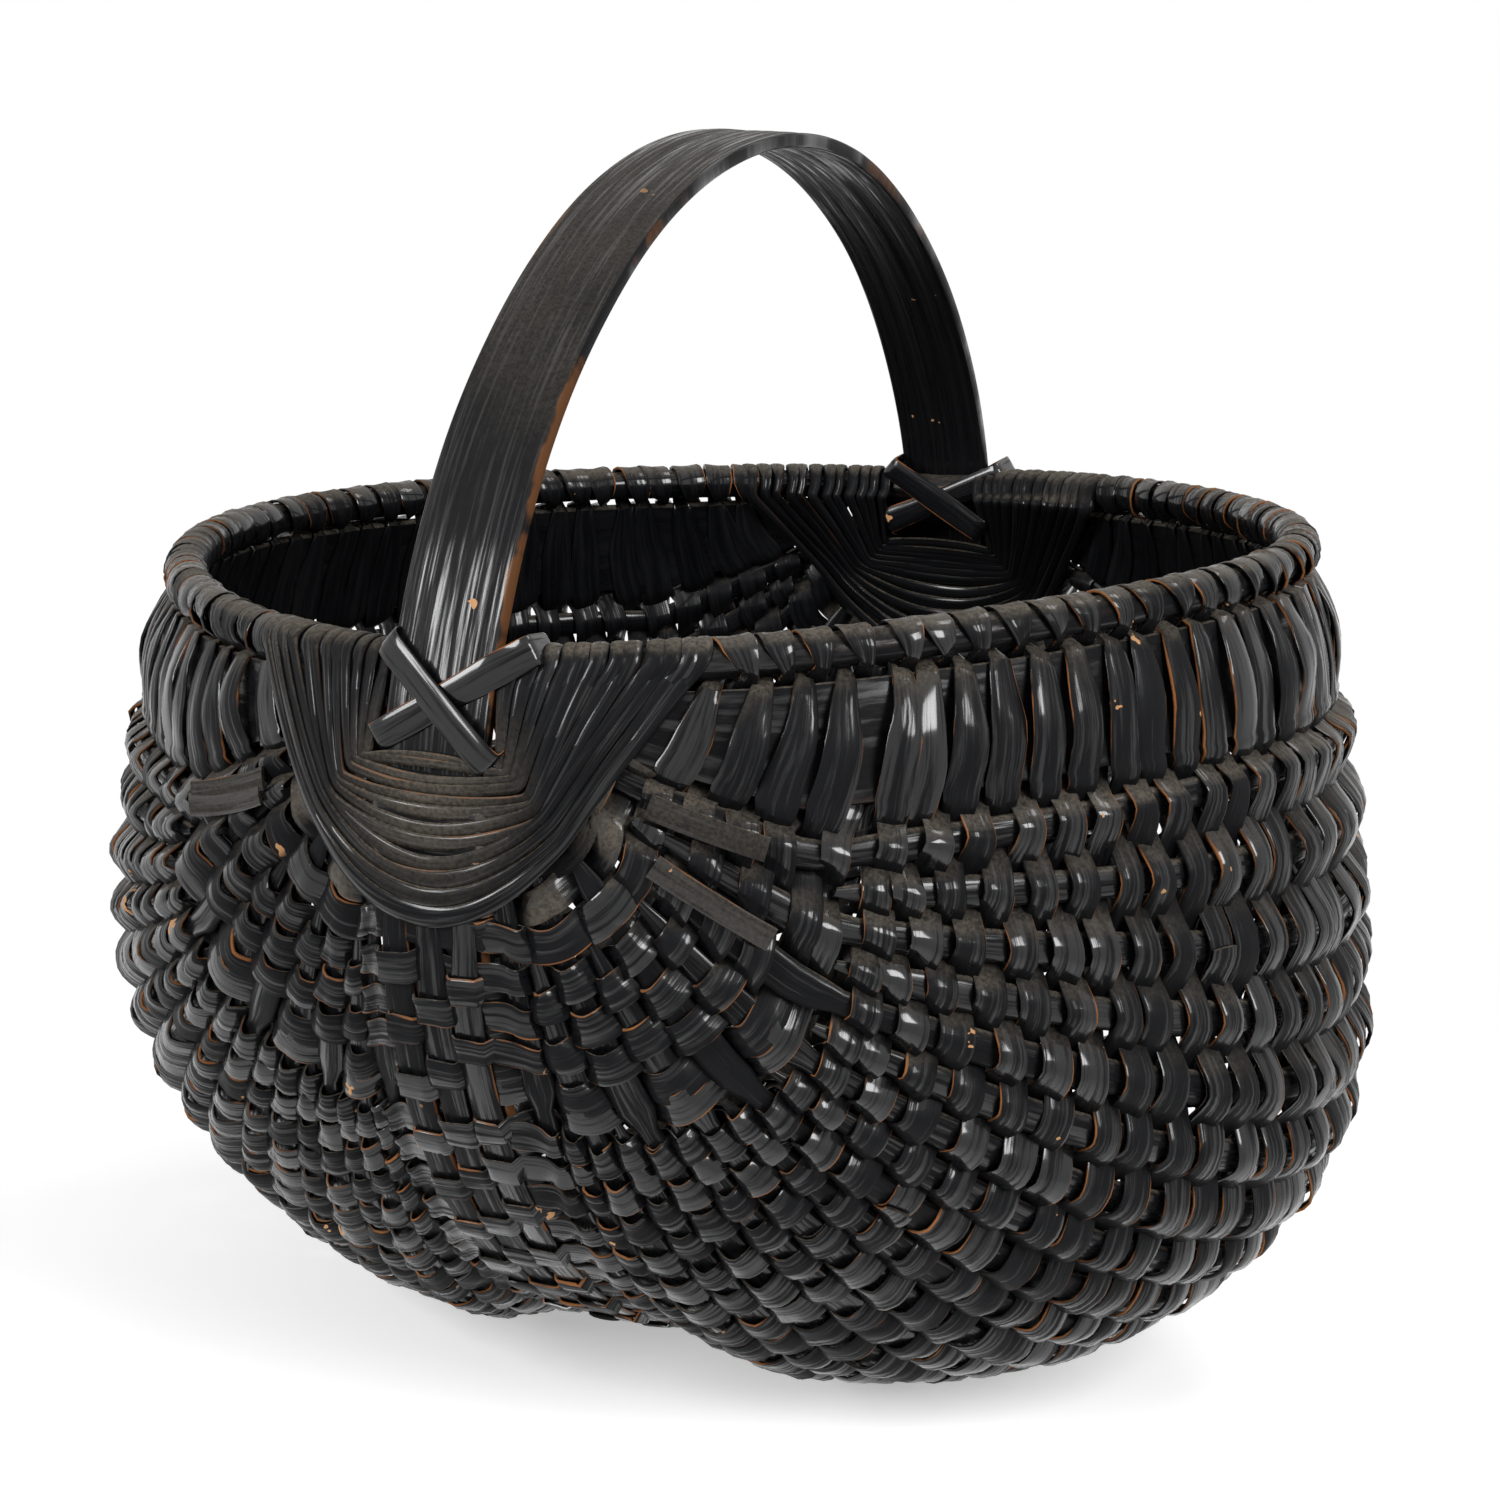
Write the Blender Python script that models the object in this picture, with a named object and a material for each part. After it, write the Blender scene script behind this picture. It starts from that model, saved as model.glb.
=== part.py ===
"""A buttocks basket of split white oak: a flat hoop that is handle and spine in one, a round rim
hoop inside it, whittled ribs that swell into two lobes, and oak splints woven over and under them.

Metres, +Z up. The origin is the point of the floor under the middle of the basket. The handle
hoop lies in the plane x = 0, the lobes reach to +X (right) and -X (left), and the two ears, where
the hoops cross, lie at -Y (near) and +Y (far).
"""

import math

import bmesh
import bpy
import numpy as np

# Handle hoop, a flat splint bent into a ring, measured over its outer face
HOOP_LENGTH = 0.346
HOOP_HEIGHT = 0.330
HOOP_CENTRE_DROP = 0.044
HANDLE_WIDTH = 0.028
HANDLE_THICKNESS = 0.004
HANDLE_ARRIS = 0.0007
SCARF_LENGTH = 0.070
SCARF_TIP = 0.0008

# Rim hoop, a whittled rod, lifted at mid side and leaning to the left
RIM_WIDTH = 0.316
RIM_ROD = 0.009
RIM_RISE = 0.007
RIM_LEAN = 0.008

# The two lobes, measured over the weave
BELLY_WIDTH = 0.366
BELLY_DROP = 0.120
LOBE_DROP = 0.2235
LOBE_SPACING = 0.104
HAUNCH_POWER = 1.9

# How the ribs gather at an ear
EAR_DROP = 0.012
EAR_PINCH = -0.186
PINCH_POWER = 6
HOOP_FADE_POWER = 4

# Wide flat rib under the rim on each side
SIDE_RIB_HEIGHT = 0.030
SIDE_RIB_THICKNESS = 0.0035
SIDE_RIB_TIP = 0.012
SIDE_RIB_TAPER = 0.045
RIM_SPACE = 0.0037

# Whittled ribs
RIBS_PER_LOBE = 12
PRIMARY_RIBS = 4
RIB_WIDTH = 0.0068
RIB_THICKNESS = 0.0030
RIB_TIP_WIDTH = 0.0042
RIB_TIP_THICKNESS = 0.0018
RIB_TAPER = 0.050
RIB_SPACE = 0.0046
RIB_EDGE_SPACE = 0.0112
RIB_HOOP_SPACE = 0.0180

# Woven splints
ROWS_PER_WEAVER = 2
WEAVER_WIDTH = 0.0110
WEAVER_THICKNESS = 0.0009
WEAVER_SPACE = 0.0008
SPLICE_SPACE = 0.0008

# Lashing round each ear, and the crossed strap over it
LASHING_TURNS = 4
LASHING_WIDTH = 0.0076
LASHING_SPACE = 0.0008
STRAP_WIDTH = 0.0060
STRAP_SLANT = 0.0090
STRAP_EDGE_SPACE = 0.0055
STRAP_EDGE_EASE = 0.0024
STRAP_BEND = 0.0020
LASHING_SEAT = 0.0006

# Gap between pieces that touch, and the depth of the flat worn under each lobe
SEAT = 0.00035
FOOT_CUT = 0.0006

# Shares and counts of the surfaces
PASS_LEAD_SHARE = 0.09
RULER_STEPS = 160
HOOP_STEPS = 60
RIM_STEPS = 56
RIM_SIDES = 8
RIB_STEPS = 16
SIDE_RIB_STEPS = 20
CROSSING_STEPS = 6
BEYOND_STEPS = 2
WRAP_DEGREES = (-30, 30, 90, 150, 210)
TURN_STEP = 1e-4
SIDES = {"right": 1, "left": -1}
EARS = {"near": -1, "far": 1}

RIGHT_ANGLE = math.pi / 2
WALL = RIB_THICKNESS + 2 * (SEAT + WEAVER_THICKNESS)
SPINE_HALF_LENGTH = (HOOP_LENGTH - HANDLE_THICKNESS) / 2
SPINE_HALF_HEIGHT = (HOOP_HEIGHT - HANDLE_THICKNESS) / 2


def unit(vectors):
    """Each vector scaled to length 1."""
    return vectors / np.linalg.norm(vectors, axis=-1, keepdims=True)


def hoop_angle_at(z):
    """Angle round the hoop, from straight down, where its middle line has height z."""
    return math.acos((-HOOP_CENTRE_DROP - z) / SPINE_HALF_HEIGHT)


def hoop_yz(angle):
    """Middle line of the hoop: an ellipse, with its centre below the rim."""
    return SPINE_HALF_LENGTH * np.sin(angle), -HOOP_CENTRE_DROP - SPINE_HALF_HEIGHT * np.cos(angle)


def rim_half_length():
    """The rim hoop just fits inside the handle hoop at the ears."""
    at_rim = hoop_yz(hoop_angle_at(0))[0]
    return at_rim - HANDLE_THICKNESS / 2 - SEAT - RIM_ROD / 2


def mid_profile(side):
    """Section of one lobe at mid length: a dip off the hoop, a haunch, and a flank up to the rim."""
    t = np.linspace(0, 1, RULER_STEPS)
    start_x, start_z = HANDLE_WIDTH / 2, hoop_yz(0)[1]
    low_x, low_z = LOBE_SPACING / 2, WALL / 2 - LOBE_DROP
    wide_x, wide_z = (BELLY_WIDTH - WALL) / 2, -BELLY_DROP
    rim_x, rim_z = RIM_WIDTH / 2, RIM_RISE + side * RIM_LEAN
    round_share = 2 / HAUNCH_POWER
    rise, run = np.cos(t * RIGHT_ANGLE), np.sin(t * RIGHT_ANGLE)
    dip = start_x + (low_x - start_x) * t, low_z + (start_z - low_z) * (1 + np.cos(math.pi * t)) / 2
    haunch = (
        low_x + (wide_x - low_x) * run**round_share,
        wide_z + (low_z - wide_z) * np.abs(rise) ** round_share,
    )
    flank = wide_x + (rim_x - wide_x) * t**2, wide_z + (rim_z - wide_z) * t
    x = np.concatenate([dip[0], haunch[0][1:], flank[0][1:]])
    z = np.concatenate([dip[1], haunch[1][1:], flank[1][1:]])
    run = np.concatenate([[0], np.cumsum(np.hypot(np.diff(x), np.diff(z)))])
    return run / run[-1], x, z


PROFILES = {side: mid_profile(side) for side in SIDES.values()}


def wall_point(side, share, turn):
    """Middle of the wall: share runs from 0 at the hoop to 1 at the rim, turn from ear to ear.

    Each line of constant share is an ellipse from an ear point through the mid profile, pinched
    towards the ears. A term that fades off the hoop lays the first line on the hoop itself.
    """
    share, turn = np.broadcast_arrays(np.asarray(share, float), np.asarray(turn, float))
    shares, xs, zs = PROFILES[side]
    mid_x, mid_z = np.interp(share, shares, xs), np.interp(share, shares, zs)
    ear_share = 1 - share**2
    ear_x, ear_z = ear_share * HANDLE_WIDTH / 2, -ear_share * EAR_DROP
    last_angle = hoop_angle_at(-EAR_DROP)
    hoop_reach = hoop_yz(last_angle)[0]
    reach = rim_half_length() + (hoop_reach - rim_half_length()) * ear_share
    pinch = EAR_PINCH * (1 - (1 - share) ** PINCH_POWER)
    bend = np.cos(turn)
    x = ear_x + (mid_x - ear_x) * bend
    y = reach * np.sin(turn) * (1 + pinch * bend**2)
    z = ear_z + (mid_z - ear_z) * bend
    hoop_y, hoop_z = hoop_yz(turn * last_angle / RIGHT_ANGLE)
    fade = (1 - share) ** HOOP_FADE_POWER
    y = y + fade * (hoop_y - hoop_reach * np.sin(turn))
    z = z + fade * (hoop_z + EAR_DROP - (zs[0] + EAR_DROP) * bend)
    return np.stack([side * x, y, z], axis=-1)


def wall_frame(side, share, turn):
    """A point of the wall, with unit vectors to the far ear, to the rim and outward."""
    high, low = np.minimum(share + TURN_STEP, 1), np.maximum(share - TURN_STEP, 0)
    along = unit(wall_point(side, share, turn + TURN_STEP) - wall_point(side, share, turn - TURN_STEP))
    up = wall_point(side, high, turn) - wall_point(side, low, turn)
    out = unit(side * np.cross(along, up))
    return wall_point(side, share, turn), along, unit(side * np.cross(out, along)), out


def wall_ruler(side, turn):
    """Distance along the wall from the hoop's edge, at many shares, for one turn angle."""
    shares = np.linspace(0, 1, RULER_STEPS)
    points = wall_point(side, shares, turn)
    return shares, np.concatenate([[0], np.cumsum(np.linalg.norm(np.diff(points, axis=0), axis=1))])


def share_below_rim(side, turn, distance):
    """Share of the place that lies this far down the wall from the middle of the rim rod."""
    shares, run = wall_ruler(side, turn)
    return np.interp(run[-1] - distance, run, shares)


def rib_room(side, turn):
    """Width of the band where ribs can lie at this turn, between hoop and side rib."""
    run = wall_ruler(side, turn)[1]
    return run[-1] - RIB_HOOP_SPACE - RIB_EDGE_SPACE - RIM_ROD / 2 - RIM_SPACE - SIDE_RIB_HEIGHT


def rib_frame(side, index, turn):
    """Place of a rib's middle line: share, point, and unit vectors to the far ear, the rim and outward.

    Ribs divide their room evenly. Each lies square to the line between its neighbours, which are
    the hoop's edge before the first rib and the side rib's lower edge after the last.
    """
    shares, run = wall_ruler(side, turn)
    pitch = rib_room(side, turn) / (RIBS_PER_LOBE - 1)
    here = RIB_HOOP_SPACE + pitch * index
    before = max(0, here - pitch) if index else 0
    after = here + (pitch if index < RIBS_PER_LOBE - 1 else RIB_EDGE_SPACE)
    low, share, high = np.interp([before, here, after], run, shares)
    low, high = max(0, min(low, share - TURN_STEP)), min(1, max(high, share + TURN_STEP))
    point, along, _, _ = wall_frame(side, share, turn)
    up = wall_point(side, high, turn) - wall_point(side, low, turn)
    out = unit(side * np.cross(along, up))
    return share, point, along, unit(side * np.cross(out, along)), out


def is_primary(index):
    """Primary ribs start at the ear, spread evenly among the others."""
    return index in np.rint(np.linspace(0, RIBS_PER_LOBE - 1, PRIMARY_RIBS))


def rib_reach(index):
    """Largest turn that a rib reaches: a rib is let in where there is room beside its neighbours."""
    spaces = (PRIMARY_RIBS if is_primary(index) else RIBS_PER_LOBE) - 1
    width = RIB_TIP_WIDTH if is_primary(index) else RIB_WIDTH
    turns = np.linspace(0, RIGHT_ANGLE, RULER_STEPS)
    least = [min(rib_room(side, turn) for side in SIDES.values()) for turn in turns]
    pitch = np.array(least) / spaces
    return turns[pitch >= width + RIB_SPACE].max()


RIB_REACHES = [rib_reach(index) for index in range(RIBS_PER_LOBE)]


def rib_size(index, turn):
    """Width and thickness of a rib at this turn: it thins to a tip over the last stretch."""
    left = RIB_REACHES[index] - abs(turn)
    full = min(1, max(0, left * rim_half_length() / RIB_TAPER))
    return (
        RIB_TIP_WIDTH + (RIB_WIDTH - RIB_TIP_WIDTH) * full,
        RIB_TIP_THICKNESS + (RIB_THICKNESS - RIB_TIP_THICKNESS) * full,
    )


def loft(sections, closed=False):
    """Vertices and faces of a body through equal rings of points, capped at its ends."""
    sections = np.asarray(sections, float)
    count, sides = sections.shape[:2]
    faces = []
    for ring in range(count if closed else count - 1):
        here, there = ring * sides, (ring + 1) % count * sides
        for corner in range(sides):
            after = (corner + 1) % sides
            faces.append((here + corner, here + after, there + after, there + corner))
    if not closed:
        faces.append(tuple(range(sides)))
        faces.append(tuple(range((count - 1) * sides, count * sides)))
    return sections.reshape(-1, 3), faces


def splint(path, width, closed=False):
    """A thin strip of oak through (point, across, normal) places."""
    points, across, normals = (np.array(column) for column in zip(*path))
    side, up = across * width / 2, normals * WEAVER_THICKNESS / 2
    rings = np.stack([points + side + up, points - side + up, points - side - up, points + side - up], axis=1)
    return loft(rings, closed)


def worn_section(centre, normal, low, high):
    """Ring of eight points across the hoop: flat between the offsets low and high, corners worn."""
    arris = min(HANDLE_ARRIS, (high - low) / 3)
    half, inset = HANDLE_WIDTH / 2, HANDLE_WIDTH / 2 - arris
    corners = (
        (half, low + arris), (half, high - arris), (inset, high), (-inset, high),
        (-half, high - arris), (-half, low + arris), (-inset, low), (inset, low),
    )
    return [centre + np.array([x, 0, 0]) + normal * z for x, z in corners]


def hoop_angles():
    """Places round the hoop, from one lapped end under the basket round to the other."""
    lap = SCARF_LENGTH / SPINE_HALF_LENGTH
    return lap, np.linspace(-lap / 2, 2 * math.pi + lap / 2, HOOP_STEPS)


def hoop_place(angle):
    """Point of the hoop's middle line, and its outward normal."""
    y, z = hoop_yz(angle)
    slope_y, slope_z = hoop_yz(angle + RIGHT_ANGLE)
    tangent = np.array([0.0, slope_y, slope_z + HOOP_CENTRE_DROP])
    return np.array([0.0, y, z]), unit(np.cross(tangent, (1, 0, 0)))


def handle_hoop():
    """Handle and spine: one splint bent into a ring, its thinned ends lapped under the basket."""
    half = HANDLE_THICKNESS / 2
    thinned = HANDLE_THICKNESS - SCARF_TIP - SEAT
    lap, angles = hoop_angles()
    rings = []
    for angle in angles:
        point, normal = hoop_place(angle)
        inner_share = max(0, 1 - (angle - angles[0]) / lap)
        outer_share = max(0, 1 - (angles[-1] - angle) / lap)
        low = -half + thinned * inner_share + SEAT * (inner_share > 0)
        high = half - thinned * outer_share - SEAT * (outer_share > 0)
        rings.append(worn_section(point, normal, low, high))
    return loft(rings)


def rim_frames():
    """Places round the rim hoop: up the right side from the near ear, and back down the left."""
    turns = np.linspace(-RIGHT_ANGLE, RIGHT_ANGLE, RIM_STEPS // 2, endpoint=False)
    return [wall_frame(1, 1, turn) for turn in turns] + [wall_frame(-1, 1, -turn) for turn in turns]


def rim_hoop():
    """Rim: a whittled rod bent into a ring."""
    angles = np.arange(RIM_SIDES) * 2 * math.pi / RIM_SIDES
    radius = RIM_ROD / 2
    rings = []
    for point, _, up, out in rim_frames():
        rings.append([point + radius * (out * math.cos(a) + up * math.sin(a)) for a in angles])
    return loft(rings, closed=True)


def side_rib_height(turn):
    """Height of a side rib: its lower edge is cut away towards its ends."""
    left = (max(RIB_REACHES) - abs(turn)) * rim_half_length()
    full_share = min(1, max(0, left / SIDE_RIB_TAPER))
    return SIDE_RIB_TIP + (SIDE_RIB_HEIGHT - SIDE_RIB_TIP) * full_share


def side_rib(upper, lower):
    """The wide flat rib under the rim, through the places of its two edges."""
    half = SIDE_RIB_THICKNESS / 2
    rings = []
    corners = zip(upper.points, upper.outs, lower.points, lower.outs)
    for top, top_out, bottom, bottom_out in list(corners)[BEYOND_STEPS:-BEYOND_STEPS]:
        rings.append([
            top + top_out * half, top - top_out * half, bottom - bottom_out * half, bottom + bottom_out * half,
        ])
    return loft(rings)


def rib(carrier, ups, widths):
    """A whittled rib: a lens in section, bent from ear to ear and thinned at its tips."""
    rings = []
    places = zip(carrier.points, carrier.outs, carrier.thicknesses, ups, widths)
    for point, out, thickness, up, width in list(places)[BEYOND_STEPS:-BEYOND_STEPS]:
        rings.append([
            point + up * width / 2, point + out * thickness / 2,
            point - up * width / 2, point - out * thickness / 2,
        ])
    return loft(rings)


class Carrier:
    """What splints are woven over and under: places along it, and how thick it is there."""

    def __init__(self, turns, shares, points, outs, thicknesses, reach=RIGHT_ANGLE):
        self.turns, self.shares, self.thicknesses, self.reach = turns, shares, thicknesses, reach
        self.points = np.array(points)
        self.outs = np.array(outs)

    def read(self, turn, values):
        """Values between the places, read at a turn."""
        return np.array([np.interp(turn, self.turns, column) for column in np.transpose(values)])

    def meeting_turn(self, rim_turn):
        """Turn at which a woven line meets this carrier."""
        turn = rim_turn
        for _ in range(CROSSING_STEPS):
            turn = line_turn(rim_turn, np.interp(turn, self.turns, self.shares))
        return turn

    def crossing(self, turn, sign, width, seat):
        """Middle of a splint that lies on the outer or inner face, its length along, and its normal."""
        reach = width / 2 / rim_half_length()
        before, here, after = (self.read(turn + step, self.points) for step in (-reach, 0, reach))
        along = unit(after - before)
        out = self.read(turn, self.outs)
        out = unit(out - along * np.dot(out, along))
        base = here if sign > 0 else (before + after) / 2
        thickness = np.interp(turn, self.turns, self.thicknesses)
        return base + out * sign * (thickness / 2 + seat + WEAVER_THICKNESS / 2), along, out


def carrier_turns(reach, steps):
    """Even turns between a rib's tips, and two more beyond each tip for the splints that pass it."""
    beyond = (reach + RIGHT_ANGLE) / 2
    body = np.linspace(-reach, reach, steps)
    return np.concatenate([[-RIGHT_ANGLE, -beyond], body, [beyond, RIGHT_ANGLE]])


def rib_carrier(side, index):
    """Places along a rib, with its up directions and widths for its own body."""
    reach = RIB_REACHES[index]
    turns = carrier_turns(reach, math.ceil(RIB_STEPS * reach / max(RIB_REACHES)))
    shares, points, _, ups, outs = zip(*(rib_frame(side, index, turn) for turn in turns))
    widths, thicknesses = zip(*(rib_size(index, turn) for turn in turns))
    return Carrier(turns, shares, points, outs, thicknesses, reach), ups, widths


def side_rib_carriers(side):
    """Places along the upper and the lower edge of a side rib."""
    turns = carrier_turns(max(RIB_REACHES), SIDE_RIB_STEPS)
    upper = RIM_ROD / 2 + RIM_SPACE
    carriers = []
    for distances in ([upper] * len(turns), [upper + side_rib_height(turn) for turn in turns]):
        shares = [share_below_rim(side, turn, distance) for turn, distance in zip(turns, distances)]
        frames = [wall_frame(side, share, turn) for share, turn in zip(shares, turns)]
        thicknesses = [SIDE_RIB_THICKNESS] * len(turns)
        carriers.append(Carrier(turns, shares, [f[0] for f in frames], [f[3] for f in frames], thicknesses))
    return carriers


def hoop_edge_carrier(side):
    """Places along one edge of the handle hoop, between the ears and under the basket."""
    lap, angles = hoop_angles()
    single = angles[angles <= 2 * math.pi - lap / 2]
    turned = np.sort(np.where(single > math.pi, single - 2 * math.pi, single))
    places = [hoop_place(angle) for angle in turned]
    edge = np.array([side * HANDLE_WIDTH / 2, 0, 0])
    turns = turned * RIGHT_ANGLE / hoop_angle_at(-EAR_DROP)
    none = np.zeros(len(turned))
    return Carrier(turns, none, [p + edge for p, _ in places], [n for _, n in places], none + HANDLE_THICKNESS)


def line_turn(rim_turn, share):
    """Turn of a woven line at a share of the wall: it spreads a little towards the hoop."""
    return rim_turn * (1 + PASS_LEAD_SHARE * (1 - share))


def ribs_met(rim_turn, width):
    """Numbers of the ribs that a woven line crosses, from the rim down.

    A rib whose tip is met in one lobe counts in both, so that the line comes to the hoop's two edges
    on the same face.
    """
    clear = width / rim_half_length()
    met = []
    for index in reversed(range(RIBS_PER_LOBE)):
        pair = [CARRIERS[side][0][index] for side in SIDES.values()]
        if any(abs(carrier.meeting_turn(rim_turn)) < carrier.reach + clear for carrier in pair):
            met.append(index)
    return met


def half_line(side, rim_turn, width, first_sign, lashing):
    """Places of a woven line from the rim down to the hoop's edge. A lashing keeps to one face."""
    ribs, edges, hoop_edge = CARRIERS[side]
    carriers = edges + [ribs[index] for index in ribs_met(rim_turn, width)]
    met = [(carrier, carrier.meeting_turn(rim_turn)) for carrier in carriers]
    met.append((hoop_edge, line_turn(rim_turn, 0)))
    path = []
    for number, (carrier, turn) in enumerate(met):
        flips = 0 if lashing else max(0, number - 1)
        seat = LASHING_SEAT if lashing else SEAT
        point, along, out = carrier.crossing(turn, first_sign * (-1) ** flips, width, seat)
        path.append((point, along, out * first_sign))
    return path


def woven_line(rim_turn, width, first_sign, lashing=False):
    """Places of a whole line, from the rim of the right lobe to the rim of the left one."""
    right = half_line(1, rim_turn, width, first_sign, lashing)
    left = half_line(-1, rim_turn, width, first_sign, lashing)
    return right + left[::-1]


def rim_wrap(side, start_turn, end_turn, degrees, faces_rod):
    """Places of a splint wrapped over the rim rod, moving from one woven line to the next."""
    flat = math.cos(math.radians(WRAP_DEGREES[1] - WRAP_DEGREES[0]) / 2)
    radius = (RIM_ROD / 2 + SEAT + WEAVER_THICKNESS / 2) / flat
    path = []
    for step, degree in enumerate(degrees):
        turn = start_turn + (end_turn - start_turn) * step / (len(degrees) - 1)
        point, along, up, out = wall_frame(side, 1, turn)
        radial = out * math.cos(math.radians(degree)) + up * math.sin(math.radians(degree))
        path.append((point + radial * radius, along, radial * faces_rod))
    return path


def spaced_turns(first, last, pitch):
    """Turns spaced evenly along the rim, in an odd number so that one row runs under the middle."""
    fine = np.linspace(first, last, RULER_STEPS)
    points = wall_point(1, 1, fine)
    run = np.concatenate([[0], np.cumsum(np.linalg.norm(np.diff(points, axis=0), axis=1))])
    pairs = max(1, round((run[-1] / pitch - 1) / 2))
    count = 2 * pairs + 1
    return np.interp((np.arange(count) + 0.5) / count * run[-1], run, fine)


def lashing_turns():
    """Rim turns of one ear's lashing, from the strap outwards."""
    strap_x = HANDLE_WIDTH / 2 + STRAP_EDGE_SPACE + STRAP_WIDTH / 2
    pitch = LASHING_WIDTH + LASHING_SPACE
    first = math.acos((strap_x + LASHING_SPACE + LASHING_WIDTH / 2) / (RIM_WIDTH / 2))
    return first - np.arange(LASHING_TURNS + 1) * pitch / (RIM_WIDTH / 2)


def weave_places():
    """The whole weave as one list of places, with the places where one splint ends.

    The middle row starts inside the side ribs, so it passes under the second rib of each lobe,
    which is the lowest, and the basket stands on it. Rows run in turn inside and outside.
    """
    edge = lashing_turns()[-1] - (LASHING_WIDTH / 2 + LASHING_SPACE) / (RIM_WIDTH / 2)
    turns = spaced_turns(-edge, edge, WEAVER_WIDTH + WEAVER_SPACE)
    path, ends = [], []
    for row, turn in enumerate(turns):
        leftward = row % 2
        outside = 1 if (row - len(turns) // 2) % 2 else -1
        line = woven_line(turn, WEAVER_WIDTH, outside)
        line = line if leftward else line[::-1]
        if row and row % ROWS_PER_WEAVER == 0:
            path.append(line.pop(0))
            path.append(line.pop(0))
            ends.append(len(path))
        path += line
        if row + 1 < len(turns):
            degrees = WRAP_DEGREES if outside < 0 else WRAP_DEGREES[::-1]
            path += rim_wrap(-1 if leftward else 1, turn, turns[row + 1], degrees, -1)
    return path, ends + [len(path)]


def between(one, other, distance):
    """A place on the way from one place to another, this far from the first."""
    gap = np.linalg.norm(other[0] - one[0])
    mixed = [a + (b - a) * distance / gap for a, b in zip(one, other)]
    return mixed[0], unit(mixed[1]), unit(mixed[2])


def weavers():
    """Splints that follow each other along the weave, each butted to the next beside a rib."""
    path, ends = weave_places()
    start, bodies = 0, []
    for end in ends:
        piece = path[start:end]
        if start:
            piece = [between(path[start - 1], path[start], RIB_WIDTH + SPLICE_SPACE)] + piece
        if end < len(path):
            piece = piece + [between(path[end - 1], path[end], RIB_WIDTH)]
        bodies.append(splint(piece, WEAVER_WIDTH))
        start = end
    return bodies


def ear_lashing(ear):
    """A splint wound round rim, ribs and hoop: down the outside, and back up the inside."""
    turns = lashing_turns() * ear
    path = []
    for here, following in zip(turns, turns[1:]):
        path += woven_line(here, LASHING_WIDTH, 1, lashing=True)[::-1]
        path += rim_wrap(1, here, here, WRAP_DEGREES, 1)
        path += woven_line(here, LASHING_WIDTH, -1, lashing=True)
        path += rim_wrap(-1, here, following, WRAP_DEGREES[::-1], 1)
    return splint(path[: -len(WRAP_DEGREES)], LASHING_WIDTH)


def strap_runs(layer):
    """The strap's two slanting runs: outside across the hoop, and inside across the rim rod."""
    lift = LASHING_SEAT + WEAVER_THICKNESS / 2 + layer * (SEAT + WEAVER_THICKNESS)
    edge = HANDLE_WIDTH / 2 + STRAP_EDGE_EASE
    outside, inside = [], []
    for x in (-edge, 0, edge):
        drop = STRAP_SLANT * x / edge
        point, normal = hoop_place(hoop_angle_at(-drop))
        outside.append(point + normal * (HANDLE_THICKNESS / 2 + lift) + (x, 0, 0))
        middle = wall_point(1, 1, math.acos(abs(x) / (RIM_WIDTH / 2)))
        inside.append(np.array([x, middle[1] - RIM_ROD / 2 - lift, middle[2] - drop]))
    return outside, inside[::-1]


def with_bend(before, corner, after):
    """Three places that take the strap round a corner."""
    start = corner + unit(before - corner) * STRAP_BEND
    end = corner + unit(after - corner) * STRAP_BEND
    return [start, (start + 2 * corner + end) / 4, end]


def ear_strap(ear, slant, layer):
    """One strap of the crossed lashing that ties the handle hoop to the rim, as a closed slanting band."""
    outside, inside = strap_runs(layer)
    points, across = [], []
    ear_normal = hoop_place(hoop_angle_at(0))[1]
    for run, other, facing in ((outside, inside, ear_normal), (inside, outside, (0, -1, 0))):
        places = with_bend(other[-1], run[0], run[1]) + [run[1]] + with_bend(run[1], run[2], other[0])
        points.extend(places)
        across.extend([unit(np.cross(run[2] - run[0], facing))] * len(places))
    points = np.array(points)
    tangents = np.roll(points, -1, axis=0) - np.roll(points, 1, axis=0)
    normals = unit(np.cross(across, tangents))
    mirror = np.array([slant, ear, 1])
    return splint(list(zip(points * mirror, across * mirror, normals * mirror)), STRAP_WIDTH, closed=True)


RIBS = {side: [rib_carrier(side, index) for index in range(RIBS_PER_LOBE)] for side in SIDES.values()}
CARRIERS = {
    side: ([carrier for carrier, _, _ in RIBS[side]], side_rib_carriers(side), hoop_edge_carrier(side))
    for side in SIDES.values()
}


def basket_bodies():
    """Every piece of the basket: name, body and finish, with the middle of the rim at height 0."""
    bodies = [("handle_hoop", handle_hoop(), "hoop_oak"), ("rim_hoop", rim_hoop(), "rim_oak")]
    for name, side in SIDES.items():
        bodies.append((f"side_rib_{name}", side_rib(*CARRIERS[side][1]), "rib_oak"))
        for number, shape in enumerate(RIBS[side]):
            bodies.append((f"rib_{name}_{number + 1:02d}", rib(*shape), "rib_oak"))
    for name, ear in EARS.items():
        bodies.append((f"{name}_ear_lashing", ear_lashing(ear), "lashing_oak"))
        bodies.append((f"{name}_ear_strap_under", ear_strap(ear, 1, 0), "lashing_oak"))
        bodies.append((f"{name}_ear_strap_over", ear_strap(ear, -1, 1), "lashing_oak"))
    for number, body in enumerate(weavers()):
        bodies.append((f"weaver_{number + 1:02d}", body, "weaver_oak"))
    return bodies


FINISHES = {
    "hoop_oak": ((0.016, 0.015, 0.016, 1), 0.38),
    "rim_oak": ((0.020, 0.018, 0.018, 1), 0.42),
    "rib_oak": ((0.022, 0.020, 0.020, 1), 0.45),
    "lashing_oak": ((0.055, 0.048, 0.042, 1), 0.60),
    "weaver_oak": ((0.014, 0.014, 0.016, 1), 0.36),
}


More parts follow.
